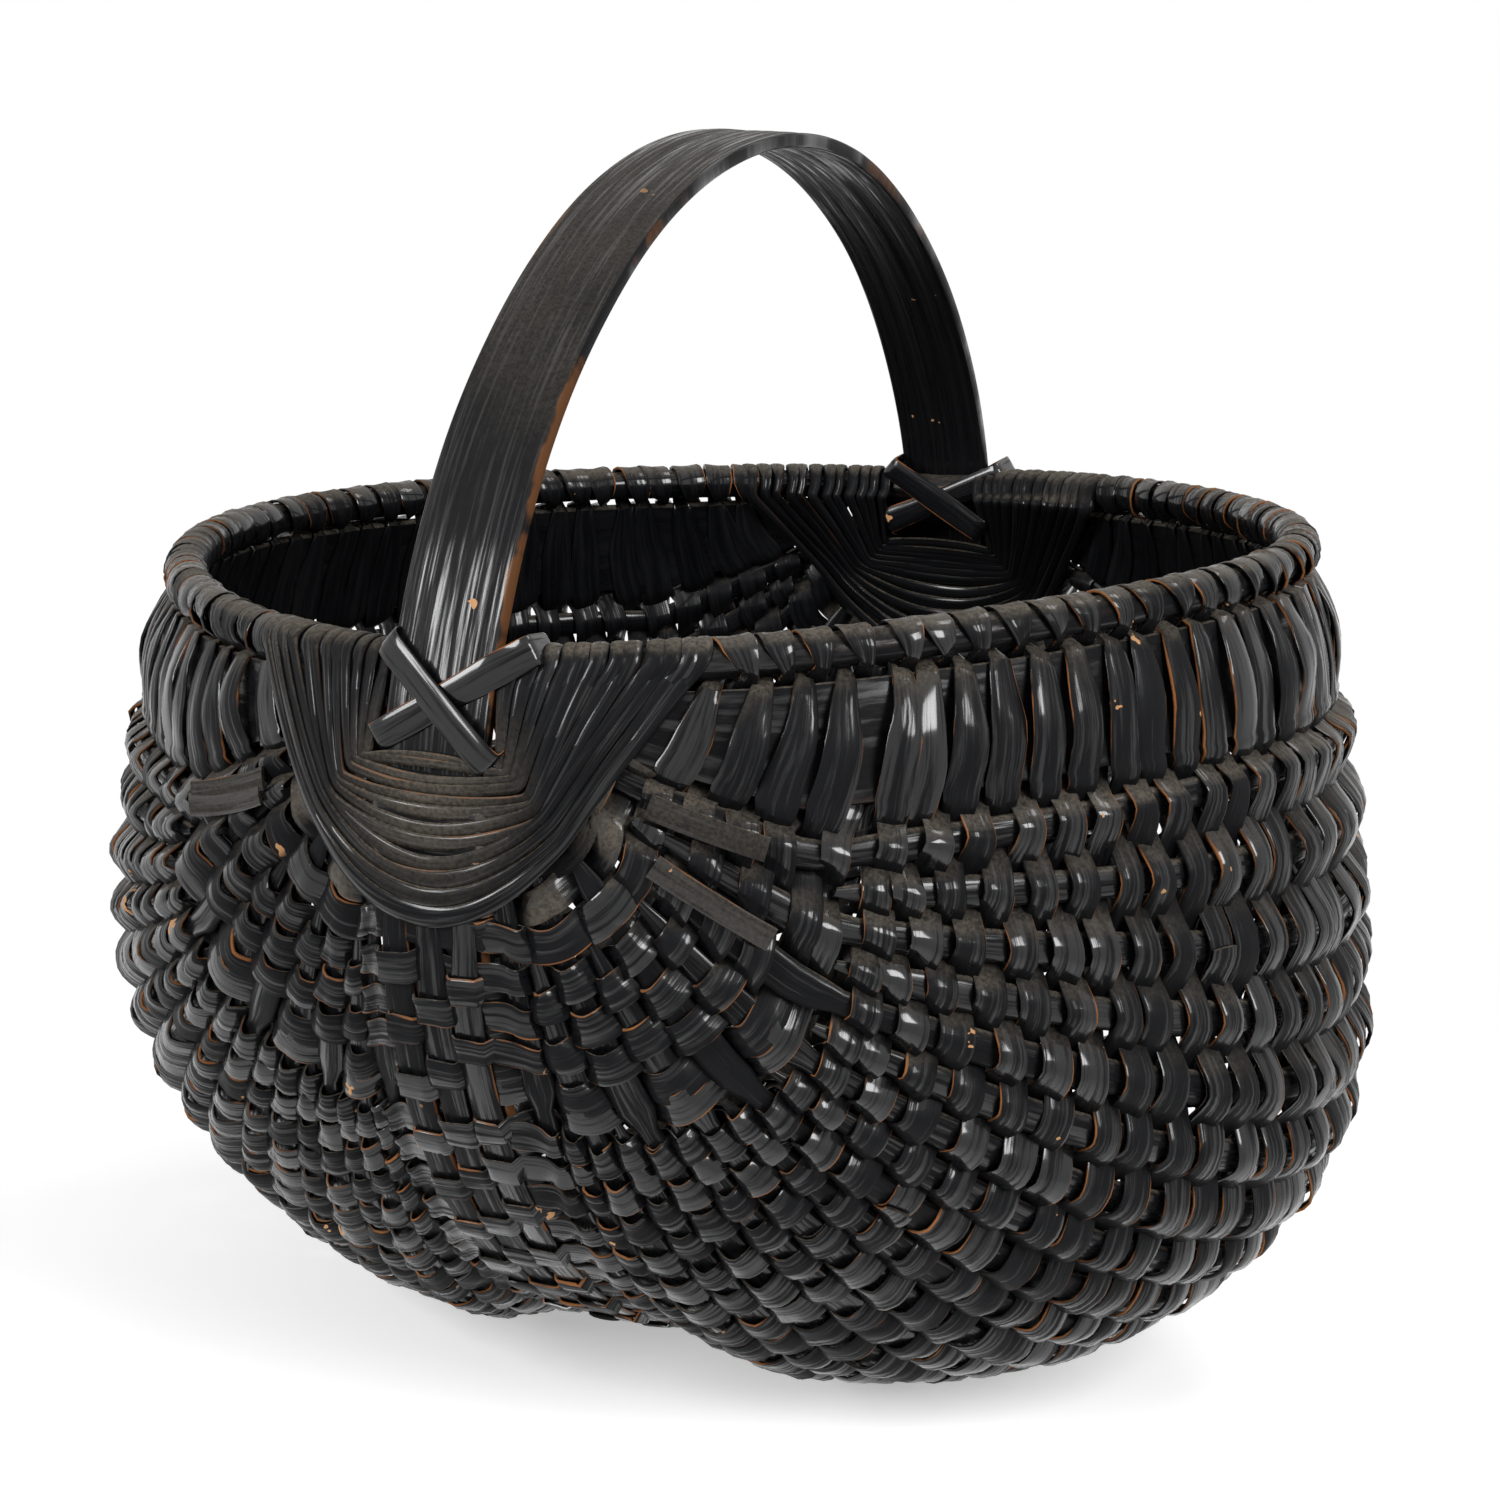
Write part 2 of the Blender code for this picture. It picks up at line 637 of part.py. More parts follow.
def painted_oak(name):
    """Split oak under worn black paint."""
    material = bpy.data.materials.new(name)
    material.use_nodes = True
    colour, roughness = FINISHES[name]
    shader = material.node_tree.nodes["Principled BSDF"]
    shader.inputs["Base Color"].default_value = colour
    shader.inputs["Roughness"].default_value = roughness
    shader.inputs["Metallic"].default_value = 0
    material.diffuse_color = colour
    return material


def flat_foot(mesh):
    """Wears a flat where a piece would reach below the floor."""
    floor = bmesh.ops.bisect_plane(
        mesh, geom=mesh.verts[:] + mesh.edges[:] + mesh.faces[:],
        plane_co=(0, 0, 0), plane_no=(0, 0, -1), clear_outer=True,
    )
    cut = [item for item in floor["geom_cut"] if isinstance(item, bmesh.types.BMEdge)]
    if cut:
        bmesh.ops.holes_fill(mesh, edges=cut)


def add_object(name, points, faces, material):
    """A closed mesh object, its faces turned outward."""
    mesh = bmesh.new()
    corners = [mesh.verts.new(point) for point in points]
    for face in faces:
        mesh.faces.new([corners[index] for index in face])
    bmesh.ops.recalc_face_normals(mesh, faces=mesh.faces)
    flat_foot(mesh)
    data = bpy.data.meshes.new(name)
    mesh.to_mesh(data)
    mesh.free()
    data.shade_smooth()
    data.set_sharp_from_angle(angle=math.radians(35))
    data.materials.append(material)
    bpy.context.scene.collection.objects.link(bpy.data.objects.new(name, data))


def main():
    for old in list(bpy.data.objects):
        bpy.data.objects.remove(old, do_unlink=True)
    bodies = basket_bodies()
    points = np.concatenate([body[0] for _, body, _ in bodies])
    low, high = points.min(axis=0), points.max(axis=0)
    stand = np.array([(low[0] + high[0]) / 2, (low[1] + high[1]) / 2, low[2] + FOOT_CUT])
    materials = {name: painted_oak(name) for name in FINISHES}
    for name, (corners, faces), finish in bodies:
        add_object(name, corners - stand, faces, materials[finish])


main()
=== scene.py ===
"""A buttocks basket of split white oak under worn black paint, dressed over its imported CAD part.

Metres, +Z up, in the CAD part's frame: the handle hoop lies in the plane x = 0, the lobes reach to +X
(right) and -X (left), and the two ears lie at -Y (near) and +Y (far).
"""

import math

import bpy
import numpy as np
from mathutils import Matrix, Vector


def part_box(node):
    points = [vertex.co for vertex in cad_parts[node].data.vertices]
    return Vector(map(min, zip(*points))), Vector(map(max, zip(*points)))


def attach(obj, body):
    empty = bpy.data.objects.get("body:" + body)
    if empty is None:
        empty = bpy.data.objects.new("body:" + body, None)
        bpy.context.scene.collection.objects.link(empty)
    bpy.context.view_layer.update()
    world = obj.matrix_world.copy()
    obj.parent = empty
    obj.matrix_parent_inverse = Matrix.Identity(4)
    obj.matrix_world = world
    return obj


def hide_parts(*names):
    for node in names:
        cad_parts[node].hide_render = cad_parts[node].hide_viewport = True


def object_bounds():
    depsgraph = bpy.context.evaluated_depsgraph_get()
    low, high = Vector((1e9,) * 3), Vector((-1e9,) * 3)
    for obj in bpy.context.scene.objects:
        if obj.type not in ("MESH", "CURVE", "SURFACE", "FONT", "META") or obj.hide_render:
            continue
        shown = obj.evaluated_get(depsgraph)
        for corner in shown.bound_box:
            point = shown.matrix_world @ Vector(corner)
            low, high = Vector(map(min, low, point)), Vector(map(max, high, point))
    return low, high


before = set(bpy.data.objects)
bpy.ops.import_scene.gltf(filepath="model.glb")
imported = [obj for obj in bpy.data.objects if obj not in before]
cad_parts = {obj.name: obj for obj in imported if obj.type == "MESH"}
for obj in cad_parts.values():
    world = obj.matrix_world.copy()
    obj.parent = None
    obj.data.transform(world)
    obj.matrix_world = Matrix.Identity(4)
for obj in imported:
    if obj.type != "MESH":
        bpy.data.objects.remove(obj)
cad_bounds = [list(corner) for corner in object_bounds()]

# Handle hoop. One flat splint of white oak bent into a full ring: the handle above the rim, and below
# it the spine between the lobes. Its faces are riven, so the grain stands up in flutes along it, and
# its arrises are rubbed. Places here and below are worked out from ORIGIN, the middle of the rim.

hoop_low, hoop_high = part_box("handle_hoop")
HOOP_LENGTH, HOOP_HEIGHT = hoop_high.y - hoop_low.y, hoop_high.z - hoop_low.z
HANDLE_WIDTH, HANDLE_THICKNESS = hoop_high.x - hoop_low.x, 0.004
HOOP_CENTRE_DROP = 0.044
SPINE_HALF_LENGTH = (HOOP_LENGTH - HANDLE_THICKNESS) / 2
SPINE_HALF_HEIGHT = (HOOP_HEIGHT - HANDLE_THICKNESS) / 2
ORIGIN = np.array([
    (hoop_low.x + hoop_high.x) / 2, (hoop_low.y + hoop_high.y) / 2,
    hoop_high.z - HOOP_HEIGHT / 2 + HOOP_CENTRE_DROP,
])
HOOP_STATIONS, FLUTES = 420, 56
FLUTE_WAVES = (0.9, 0.55, 0.31, 0.2, 0.13)
FLUTE_DEPTH, FLUTE_DRIFT = 0.00016, (0.25, 0.05)
WORN_FROM, WORN_DEPTH = 0.955, 0.0007
HOOP_SWELL, HOOP_SWAY = (0.12, 0.010), (0.2, 0.0004)
CREASE_DEGREES = 50


def unit(vectors):
    """Each vector scaled to length 1."""
    return vectors / np.linalg.norm(vectors, axis=-1, keepdims=True)


def run_along(points):
    """Distance along a line of points, from 0 at the first."""
    steps = np.linalg.norm(np.diff(points, axis=-2), axis=-1)
    return np.concatenate([np.zeros(steps.shape[:-1] + (1,)), np.cumsum(steps, axis=-1)], axis=-1)


def wander(seed, run, wave, reach):
    """A smooth random value along a run: three sine waves of random phase, the longest of this wave."""
    rng = np.random.default_rng(seed)
    phases, longer = rng.uniform(0, 2 * math.pi, 3), rng.uniform(1, 1.7, 3) ** np.arange(3)
    waves = np.sin(2 * math.pi * run[..., None] * longer / wave + phases)
    return reach * (waves @ (1 / longer)) / np.sum(1 / longer)


def hoop_place(angle):
    """Point of the hoop's middle line, an ellipse about a centre below the rim, and its outward normal."""
    zero, sine, cosine = np.zeros_like(angle), np.sin(angle), np.cos(angle)
    y, z = SPINE_HALF_LENGTH * sine, -HOOP_CENTRE_DROP - SPINE_HALF_HEIGHT * cosine
    normal = np.stack([zero, SPINE_HALF_HEIGHT * sine, -SPINE_HALF_LENGTH * cosine], axis=-1)
    return np.stack([zero, y, z], axis=-1), unit(normal)


def grid_faces(rings, sides, closed):
    """Corner indices of the quads between neighbouring rings, and the ring and side of each corner."""
    ring, side = np.meshgrid(np.arange(rings if closed else rings - 1), np.arange(sides), indexing="ij")
    ring, side = ring.ravel()[:, None] + (0, 0, 1, 1), side.ravel()[:, None] + (0, 1, 1, 0)
    return ring % rings * sides + side % sides, ring, side


def facing_out(rings, across, closed=False):
    """The rings and their places across, turned over if need be, so that the loft's signed volume is
    positive and its faces look outward."""
    quads = grid_faces(len(rings), rings.shape[1], closed)[0]
    a, b, c, d = (rings.reshape(-1, 3)[quads[:, corner]] for corner in range(4))
    volume = np.sum(np.cross(b - a, c - a) * a) + np.sum(np.cross(c - a, d - a) * a)
    return (rings, across) if volume > 0 else (rings[:, ::-1], across[::-1])


def loft(name, parts, finish):
    """One mesh of lofts: quads between neighbouring rings of points, and a flat cap on each open end.

    Each part is (rings, along, across, tone, stand, closed). The distance along and the place across are
    kept as UV, the splint's own random tone and how far it stands out as attributes."""
    points, corners, uvs, sizes, caps, first = [], [], [], [], [], 0
    shades = {"tone": [], "stand": []}
    for rings, along, across, tone, stand, closed in parts:
        count, sides = rings.shape[:2]
        quads, ring, side = grid_faces(count, sides, closed)
        along = np.append(along, along[-1] + along[1] - along[0])
        uvs.append(np.stack([along[ring], np.append(across, across[0])[side]], axis=-1).reshape(-1, 2))
        corners.append(quads.ravel() + first)
        sizes.append(np.full(len(quads), 4))
        if not closed:
            ends = np.array([np.arange(sides)[::-1], np.arange(sides) + (count - 1) * sides]) + first
            caps.append((ends, [along[0], along[count - 1]], across))
        points.append(rings.reshape(-1, 3))
        for label, value in (("tone", tone), ("stand", stand)):
            value = np.asarray(value, float).reshape(-1, 1)
            shades[label].append(np.broadcast_to(value, (count, sides)).ravel())
        first += count * sides
    for ends, lengths, across in caps:
        for end, length, flip in zip(ends, lengths, (-1, 1)):
            corners.append(end)
            uvs.append(np.stack([np.full(len(end), length), across[::flip]], axis=-1))
            sizes.append([len(end)])
    sizes, corners = np.concatenate(sizes), np.concatenate(corners)
    mesh = bpy.data.meshes.new(name)
    mesh.vertices.add(first)
    mesh.loops.add(len(corners))
    mesh.polygons.add(len(sizes))
    mesh.vertices.foreach_set("co", (np.concatenate(points) + ORIGIN).ravel())
    mesh.loops.foreach_set("vertex_index", corners)
    mesh.polygons.foreach_set("loop_start", np.cumsum(sizes) - sizes)
    mesh.uv_layers.new(name="UVMap").uv.foreach_set("vector", np.concatenate(uvs).ravel())
    for label, values in shades.items():
        mesh.attributes.new(label, "FLOAT", "POINT").data.foreach_set("value", np.concatenate(values))
    mesh.update(calc_edges=True)
    mesh.validate()
    mesh.shade_smooth()
    mesh.set_sharp_from_angle(angle=math.radians(CREASE_DEGREES))
    mesh.materials.append(finish)
    piece = bpy.data.objects.new(name, mesh)
    bpy.context.scene.collection.objects.link(piece)
    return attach(piece, "root")


# Its paint, which all the pieces share: black, brushed on a long time ago, glossy where it is clean,
# rubbed to orange-brown oak along the arrises, chipped here and there, and dusty on ledges.

PAINT, PAINT_LIT = (0.0022, 0.0024, 0.0030, 1), (0.0085, 0.0087, 0.0096, 1)
RUBBED_OAK, BARE_OAK = (0.27, 0.105, 0.035, 1), (0.50, 0.27, 0.13, 1)
DUST_COLOUR = (0.115, 0.098, 0.078, 1)
SHEEN, COAT_IOR = 0.05, 1.47
RELIEF_DEPTH = 0.0006
GRAIN_LANES, RUBBING_LANES = 37.0, 91.0
FINE_GRAIN, BROAD_GRAIN, LUMPS = (42.0, 4.0), (17.0, 1.6), (260.0, 1.0)
RUBBED_LINES, RUBBED_PATCHES, RUBBED_LIMITS = (55.0, 2.0), (16.5, 0.6), (1.47, 1.54)
STANDING_LIMITS = (-0.1, 0.6)
CLOUD_SCALE, SPECK_SCALE, LEDGE_LIMITS = 38.0, 900.0, (0.75, 1.30)
SPECK_LIMITS, THIN_DUST = (0.5, 0.85), 0.35
FLAKE_SCALE, FLAKE_LIMIT, FLAKE_EDGE, FLAKED_LIMITS, FLAKING = 95.0, 0.80, 0.008, (0.0, 0.6), 1.35
LIT_LIMITS, DULL_LIMITS, POLISH_LIMITS = (0.42, 0.78), (0.38, 0.72), (0.44, 0.60)
PAINT_ROUGHNESS, BARE_ROUGHNESS, PAINT_COAT = (0.35, 0.60), 0.35, (1.0, 0.02)


def add(tree, kind, values=(), **settings):
    """A shader node with its settings, its inputs given as constants or as sockets to link from."""
    node = tree.nodes.new("ShaderNode" + kind)
    for key, value in settings.items():
        setattr(node, key, value)
    for key, value in dict(values).items():
        if isinstance(value, bpy.types.NodeSocket):
            tree.links.new(value, node.inputs[key])
        else:
            node.inputs[key].default_value = value
    return node


def together(tree, operation, values):
    """Sockets and numbers taken together, one after the other, by one operation."""
    total = values[0]
    for value in values[1:]:
        total = add(tree, "Math", {0: total, 1: value}, operation=operation).outputs[0]
    return total


def times(tree, *factors):
    """The product of sockets and numbers."""
    return together(tree, "MULTIPLY", factors)


def plus(tree, *terms):
    """The sum of sockets and numbers."""
    return together(tree, "ADD", terms)


def most(tree, *values):
    """The largest of sockets and numbers."""
    return together(tree, "MAXIMUM", values)


def between(tree, value, low, high, start=0.0, end=1.0):
    """The value eased from start to end as it goes from low to high."""
    values = {"Value": value, "From Min": low, "From Max": high, "To Min": start, "To Max": end}
    return add(tree, "MapRange", values, interpolation_type="SMOOTHSTEP").outputs[0]


def noise(tree, vector, scale, detail, roughness):
    """Noise between 0 and 1."""
    values = {"Vector": vector, "Scale": scale, "Detail": detail, "Roughness": roughness}
    return add(tree, "TexNoise", values).outputs["Fac"]


def drawn_out(tree, place, rates, detail, roughness):
    """Noise drawn out along a splint: its places along and across times two rates, in its own lane."""
    along, across, lane = place
    values = {0: times(tree, along, rates[0]), 1: times(tree, across, rates[1]), 2: lane}
    return noise(tree, add(tree, "CombineXYZ", values).outputs[0], 1.0, detail, roughness)


def mixed(tree, mask, low, high):
    """One colour over another."""
    return add(tree, "Mix", {0: mask, 6: low, 7: high}, data_type="RGBA").outputs[2]


def node_group(name, inputs, outputs):
    """An empty node group with float sockets: its tree, what it is given and what it puts out."""
    tree = bpy.data.node_groups.new(name, "ShaderNodeTree")
    for in_out, labels in (("INPUT", inputs), ("OUTPUT", outputs)):
        for label in labels:
            tree.interface.new_socket(name=label, in_out=in_out, socket_type="NodeSocketFloat")
    return tree, tree.nodes.new("NodeGroupInput").outputs, tree.nodes.new("NodeGroupOutput").inputs


def grain_group():
    """Riven grain: fine streaks along the splint, broader ones under them, and brushed unevenness."""
    tree, given, made = node_group("riven_grain", ("Along", "Across", "Tone", "Scale"), ("Streak", "Height"))
    across, lane = times(tree, given["Across"], given["Scale"]), times(tree, given["Tone"], GRAIN_LANES)
    place = given["Along"], across, lane
    streak = drawn_out(tree, place, FINE_GRAIN, 4.0, 0.62)
    body = drawn_out(tree, place, BROAD_GRAIN, 3.0, 0.55)
    lumps = drawn_out(tree, place, LUMPS, 2.0, 0.5)
    tree.links.new(plus(tree, times(tree, streak, 0.6), times(tree, body, 0.4)), made["Streak"])
    height = plus(tree, times(tree, streak, 0.55), times(tree, body, 0.8), times(tree, lumps, 0.22))
    tree.links.new(height, made["Height"])
    return tree


def rubbed_group():
    """Where the arrises are rubbed bare: near the edges, on what stands out, in broken lines."""
    inputs = ("Along", "Across", "Tone", "Stand", "Amount")
    tree, given, made = node_group("rubbed_edge", inputs, ("Mask",))
    edge = add(tree, "Math", {0: given["Across"]}, operation="ABSOLUTE").outputs[0]
    place = given["Along"], given["Across"], times(tree, given["Tone"], RUBBING_LANES)
    broken = drawn_out(tree, place, RUBBED_LINES, 3.0, 0.6)
    patch = drawn_out(tree, place, RUBBED_PATCHES, 2.0, 0.5)
    reach = plus(tree, edge, times(tree, broken, 0.45), times(tree, patch, 0.5))
    near, shown = between(tree, reach, *RUBBED_LIMITS), between(tree, given["Stand"], *STANDING_LIMITS)
    tree.links.new(times(tree, near, shown, given["Amount"]), made["Mask"])
    return tree


def dust_group():
    """Dust: it lies in specks on what looks up, thicker where the paint is streaked, or in a film."""
    tree, given, made = node_group("settled_dust", ("Amount", "Film", "Streak"), ("Mask",))
    place = add(tree, "TexCoord").outputs["Object"]
    facing = add(tree, "SeparateXYZ", {0: add(tree, "NewGeometry").outputs["Normal"]}).outputs[2]
    cloud, speck = noise(tree, place, CLOUD_SCALE, 4.0, 0.6), noise(tree, place, SPECK_SCALE, 2.0, 0.7)
    ledge = between(tree, plus(tree, facing, times(tree, cloud, 0.6)), *LEDGE_LIMITS)
    specks = plus(tree, speck, times(tree, given["Streak"], 0.35))
    broken = between(tree, specks, *SPECK_LIMITS, THIN_DUST, 1.0)
    laid = most(tree, times(tree, ledge, given["Amount"]), given["Film"])
    tree.links.new(times(tree, laid, broken), made["Mask"])
    return tree


def chip_group():
    """Chips: a few small flakes of paint gone down to pale oak, on what stands out."""
    tree, given, made = node_group("paint_chips", ("Amount", "Stand"), ("Mask",))
    flake = noise(tree, add(tree, "TexCoord").outputs["Object"], FLAKE_SCALE, 3.0, 0.55)
    limit = plus(tree, FLAKE_LIMIT, times(tree, given["Amount"], -0.06))
    gone = between(tree, flake, limit, plus(tree, limit, FLAKE_EDGE))
    tree.links.new(times(tree, gone, between(tree, given["Stand"], *FLAKED_LIMITS)), made["Mask"])
    return tree


GRAIN, RUBBED, DUST, CHIPS = grain_group(), rubbed_group(), dust_group(), chip_group()


def painted_oak(name, grain, gloss, rubbing, dust, relief, film=0.0):
    """Split oak under worn black paint: how close its grain lies across, how rough its gloss is, how far
    it is rubbed, dusty and in relief, and how much of a film of dust lies on what stands out."""
    material = bpy.data.materials.new(name)
    material.use_nodes = True
    tree = material.node_tree
    shader = tree.nodes["Principled BSDF"]
    place = add(tree, "SeparateXYZ", {0: add(tree, "TexCoord").outputs["UV"]})
    tone, stand = (add(tree, "Attribute", attribute_name=label).outputs["Fac"] for label in ("tone", "stand"))
    splint = {"Along": place.outputs[0], "Across": place.outputs[1], "Tone": tone}
    grained = add(tree, "Group", node_tree=GRAIN)
    edged = add(tree, "Group", {"Stand": stand, "Amount": rubbing}, node_tree=RUBBED)
    for node in (grained, edged):
        for label, socket in splint.items():
            tree.links.new(socket, node.inputs[label])
    grained.inputs["Scale"].default_value = grain
    streak, edge = grained.outputs["Streak"], edged.outputs["Mask"]
    settled = {"Amount": dust, "Film": times(tree, stand, film), "Streak": streak}
    dusted = add(tree, "Group", settled, node_tree=DUST).outputs["Mask"]
    chips = add(tree, "Group", {"Amount": FLAKING, "Stand": stand}, node_tree=CHIPS).outputs["Mask"]
    lit = between(tree, plus(tree, streak, times(tree, tone, 0.16)), *LIT_LIMITS)
    colour = mixed(tree, edge, mixed(tree, lit, PAINT, PAINT_LIT), RUBBED_OAK)
    colour = mixed(tree, chips, mixed(tree, dusted, colour, DUST_COLOUR), BARE_OAK)
    bare = most(tree, edge, chips, dusted)
    painted = between(tree, streak, *DULL_LIMITS, *PAINT_ROUGHNESS)
    rough = plus(tree, painted, times(tree, bare, BARE_ROUGHNESS))
    polish = plus(tree, streak, times(tree, tone, 0.14), times(tree, stand, -0.05))
    clean = add(tree, "Math", {0: 1.0, 1: bare}, operation="SUBTRACT", use_clamp=True).outputs[0]
    coat = times(tree, between(tree, polish, *POLISH_LIMITS, *PAINT_COAT), clean)
    raised = {"Height": grained.outputs["Height"], "Strength": relief, "Distance": RELIEF_DEPTH}
    bump = add(tree, "Bump", raised).outputs[0]
    links = {"Base Color": colour, "Roughness": rough, "Coat Weight": coat, "Normal": bump}
    for label, socket in links.items():
        tree.links.new(socket, shader.inputs[label])
    shader.inputs["Specular IOR Level"].default_value = SHEEN
    shader.inputs["Coat IOR"].default_value = COAT_IOR
    shader.inputs["Coat Roughness"].default_value = gloss
    return material


def handle_hoop(finish):
    """The ring. Each face stands half the thickness off the middle line, plus sine waves across the grain
    that drift along it, less the square of the way past the line from which the arris is worn."""
    angle = np.linspace(0, 2 * math.pi, HOOP_STATIONS, endpoint=False)
    point, normal = hoop_place(angle)
    run = run_along(point)
    across = np.linspace(1, -1, FLUTES)
    across = np.concatenate([across, across[::-1]])
    face = np.repeat((1, -1), FLUTES)
    rng = np.random.default_rng(21)
    depth = np.zeros((HOOP_STATIONS, 2 * FLUTES))
    for wave in FLUTE_WAVES:
        drift = wander(rng.integers(1000), run, *FLUTE_DRIFT)[:, None]
        phase = rng.uniform(0, 2 * math.pi)
        depth += wave * np.sin(2 * math.pi * (across * 0.9 + drift + 0.3 * face) / wave + phase)
    depth *= FLUTE_DEPTH * (1 - across**8)
    worn = np.clip((np.abs(across) - WORN_FROM) / (1 - WORN_FROM), 0, 1) ** 2 * WORN_DEPTH
    height = face * (HANDLE_THICKNESS / 2 - worn + depth)
    half = HANDLE_WIDTH / 2 * (1 + wander(22, run, *HOOP_SWELL))
    rings = point[:, None] + normal[:, None] * height[..., None]
    rings[..., 0] += half[:, None] * across + wander(23, run, *HOOP_SWAY)[:, None]
    rings, across = facing_out(rings, across, True)
    handled = np.clip(1.1 + 0.9 * np.cos(angle), 0.2, 1)
    piece = loft("handle_hoop_splint", [(rings, run, across, 0.75, handled, True)], finish)
    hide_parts("handle_hoop")


handle_hoop(painted_oak("hoop_oak", grain=5.0, gloss=0.16, rubbing=0.4, dust=0.30, relief=0.55))

# Rim hoop. A whittled oak rod bent into a ring that stands inside the handle hoop and leans a little
# from side to side. The weavers turn round it, and the lashings tie it to the hoop at the ears.

rim_low, rim_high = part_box("rim_hoop")
RIM_ROD, ROD_SIDES, RIM_STATIONS = 0.009, 14, 180
RIM_WIDTH = rim_high.x - rim_low.x - RIM_ROD
RIM_RISE, RIM_LEAN = 0.007, 0.008
ROD_SWELL, ROD_FACETS, FACET_DEPTH, FACET_DRIFT = (0.08, 0.04), 3, 0.03, 20
BELLY_WIDTH = cad_bounds[1][0] - cad_bounds[0][0]
BELLY_DROP, LOBE_DROP, LOBE_SPACING = 0.120, 0.2235, 0.104
HAUNCH_POWER, PINCH_POWER, HOOP_FADE_POWER = 1.9, 6, 4
EAR_DROP, EAR_PINCH = 0.012, -0.186
WALL, SEAT = 0.0055, 0.00035
PROFILE_STEPS, SMALL_STEP = 1200, 1e-3
RIGHT_ANGLE = math.pi / 2
SIDES = {"right": 1, "left": -1}


def hoop_angle_at(z):
    """Angle round the hoop, from straight down, where its middle line has height z."""
    return np.arccos((-HOOP_CENTRE_DROP - z) / SPINE_HALF_HEIGHT)


RIM_HALF_LENGTH = hoop_place(hoop_angle_at(0))[0][1] - HANDLE_THICKNESS / 2 - SEAT - RIM_ROD / 2


def part_way(start, end, share):
    """The value that lies this share of the way from start to end."""
    return start + (end - start) * share


def mid_profile(side):
    """Section of one lobe at mid length: a cosine dip off the hoop, a superelliptic haunch, and a flank
    that leans in to the rim as the square of its height."""
    t = np.linspace(0, 1, PROFILE_STEPS)
    start_x, start_z = HANDLE_WIDTH / 2, hoop_place(0.0)[0][2]
    low_x, low_z = LOBE_SPACING / 2, WALL / 2 - LOBE_DROP
    wide_x, wide_z = (BELLY_WIDTH - WALL) / 2, -BELLY_DROP
    rim_x, rim_z = RIM_WIDTH / 2, RIM_RISE + side * RIM_LEAN
    rise, run = np.abs(np.cos(t * RIGHT_ANGLE)), np.sin(t * RIGHT_ANGLE)
    power = 2 / HAUNCH_POWER
    x = [part_way(start_x, low_x, t), part_way(low_x, wide_x, run**power), part_way(wide_x, rim_x, t**2)]
    dip = part_way(low_z, start_z, (1 + np.cos(math.pi * t)) / 2)
    z = [dip, part_way(wide_z, low_z, rise**power), part_way(wide_z, rim_z, t)]
    x, z = (np.concatenate([parts[0], parts[1][1:], parts[2][1:]]) for parts in (x, z))
    run = run_along(np.stack([x, z], axis=-1))
    return run / run[-1], x, z


PROFILES = {side: mid_profile(side) for side in SIDES.values()}


def wall_point(side, share, turn):
    """Middle of the basket's wall. Share runs from 0 at the hoop to 1 at the rim, turn from ear to ear.

    Each line of constant share is an ellipse from an ear point through the mid profile, pinched
    towards the ears, and a term that fades off the hoop lays the first line on the hoop itself."""
    share, turn = np.broadcast_arrays(np.asarray(share, float), np.asarray(turn, float))
    shares, xs, zs = PROFILES[side]
    mid_x, mid_z = np.interp(share, shares, xs), np.interp(share, shares, zs)
    ear_share, bend = 1 - share**2, np.cos(turn)
    ear_x, ear_z = ear_share * HANDLE_WIDTH / 2, -ear_share * EAR_DROP
    last_angle = hoop_angle_at(-EAR_DROP)
    hoop_reach = hoop_place(last_angle)[0][1]
    reach = part_way(RIM_HALF_LENGTH, hoop_reach, ear_share)
    pinch = EAR_PINCH * (1 - (1 - share) ** PINCH_POWER)
    hoop = hoop_place(turn * last_angle / RIGHT_ANGLE)[0]
    fade = (1 - share) ** HOOP_FADE_POWER
    x = part_way(ear_x, mid_x, bend)
    y = reach * np.sin(turn) * (1 + pinch * bend**2) + fade * (hoop[..., 1] - hoop_reach * np.sin(turn))
    z = part_way(ear_z, mid_z, bend) + fade * (hoop[..., 2] + EAR_DROP - (zs[0] + EAR_DROP) * bend)
    return np.stack([side * x, y, z], axis=-1)


def wall_frame(side, share, turn):
    """A point of the wall, with unit vectors to the far ear, to the rim and outward."""
    high, low = np.minimum(share + SMALL_STEP, 1), np.maximum(share - SMALL_STEP, 0)
    along = unit(wall_point(side, share, turn + SMALL_STEP) - wall_point(side, share, turn - SMALL_STEP))
    up = wall_point(side, high, turn) - wall_point(side, low, turn)
    out = unit(side * np.cross(along, up))
    return wall_point(side, share, turn), along, unit(side * np.cross(out, along)), out


def rim_rod(finish):
    """The rod: a circle in section whose radius wanders a little, in three soft facets that turn along it."""
    turns = np.linspace(-RIGHT_ANGLE, RIGHT_ANGLE, RIM_STATIONS, endpoint=False)
    halves = zip(wall_frame(1, 1, turns), wall_frame(-1, 1, -turns))
    point, _, up, out = [np.concatenate(columns) for columns in halves]
    run = run_along(point)
    angle = np.arange(ROD_SIDES) * 2 * math.pi / ROD_SIDES
    facets = FACET_DEPTH * np.cos(ROD_FACETS * angle + run[:, None] * FACET_DRIFT)
    radius = RIM_ROD / 2 * (1 + wander(11, run, *ROD_SWELL)[:, None] + facets)
    radial = out[:, None] * np.cos(angle)[:, None] + up[:, None] * np.sin(angle)[:, None]
    rings, across = facing_out(point[:, None] + radial * radius[..., None], np.cos(angle), True)
    piece = loft("rim_hoop_rod", [(rings, run, across, 0.4, 0, True)], finish)
    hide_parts("rim_hoop")


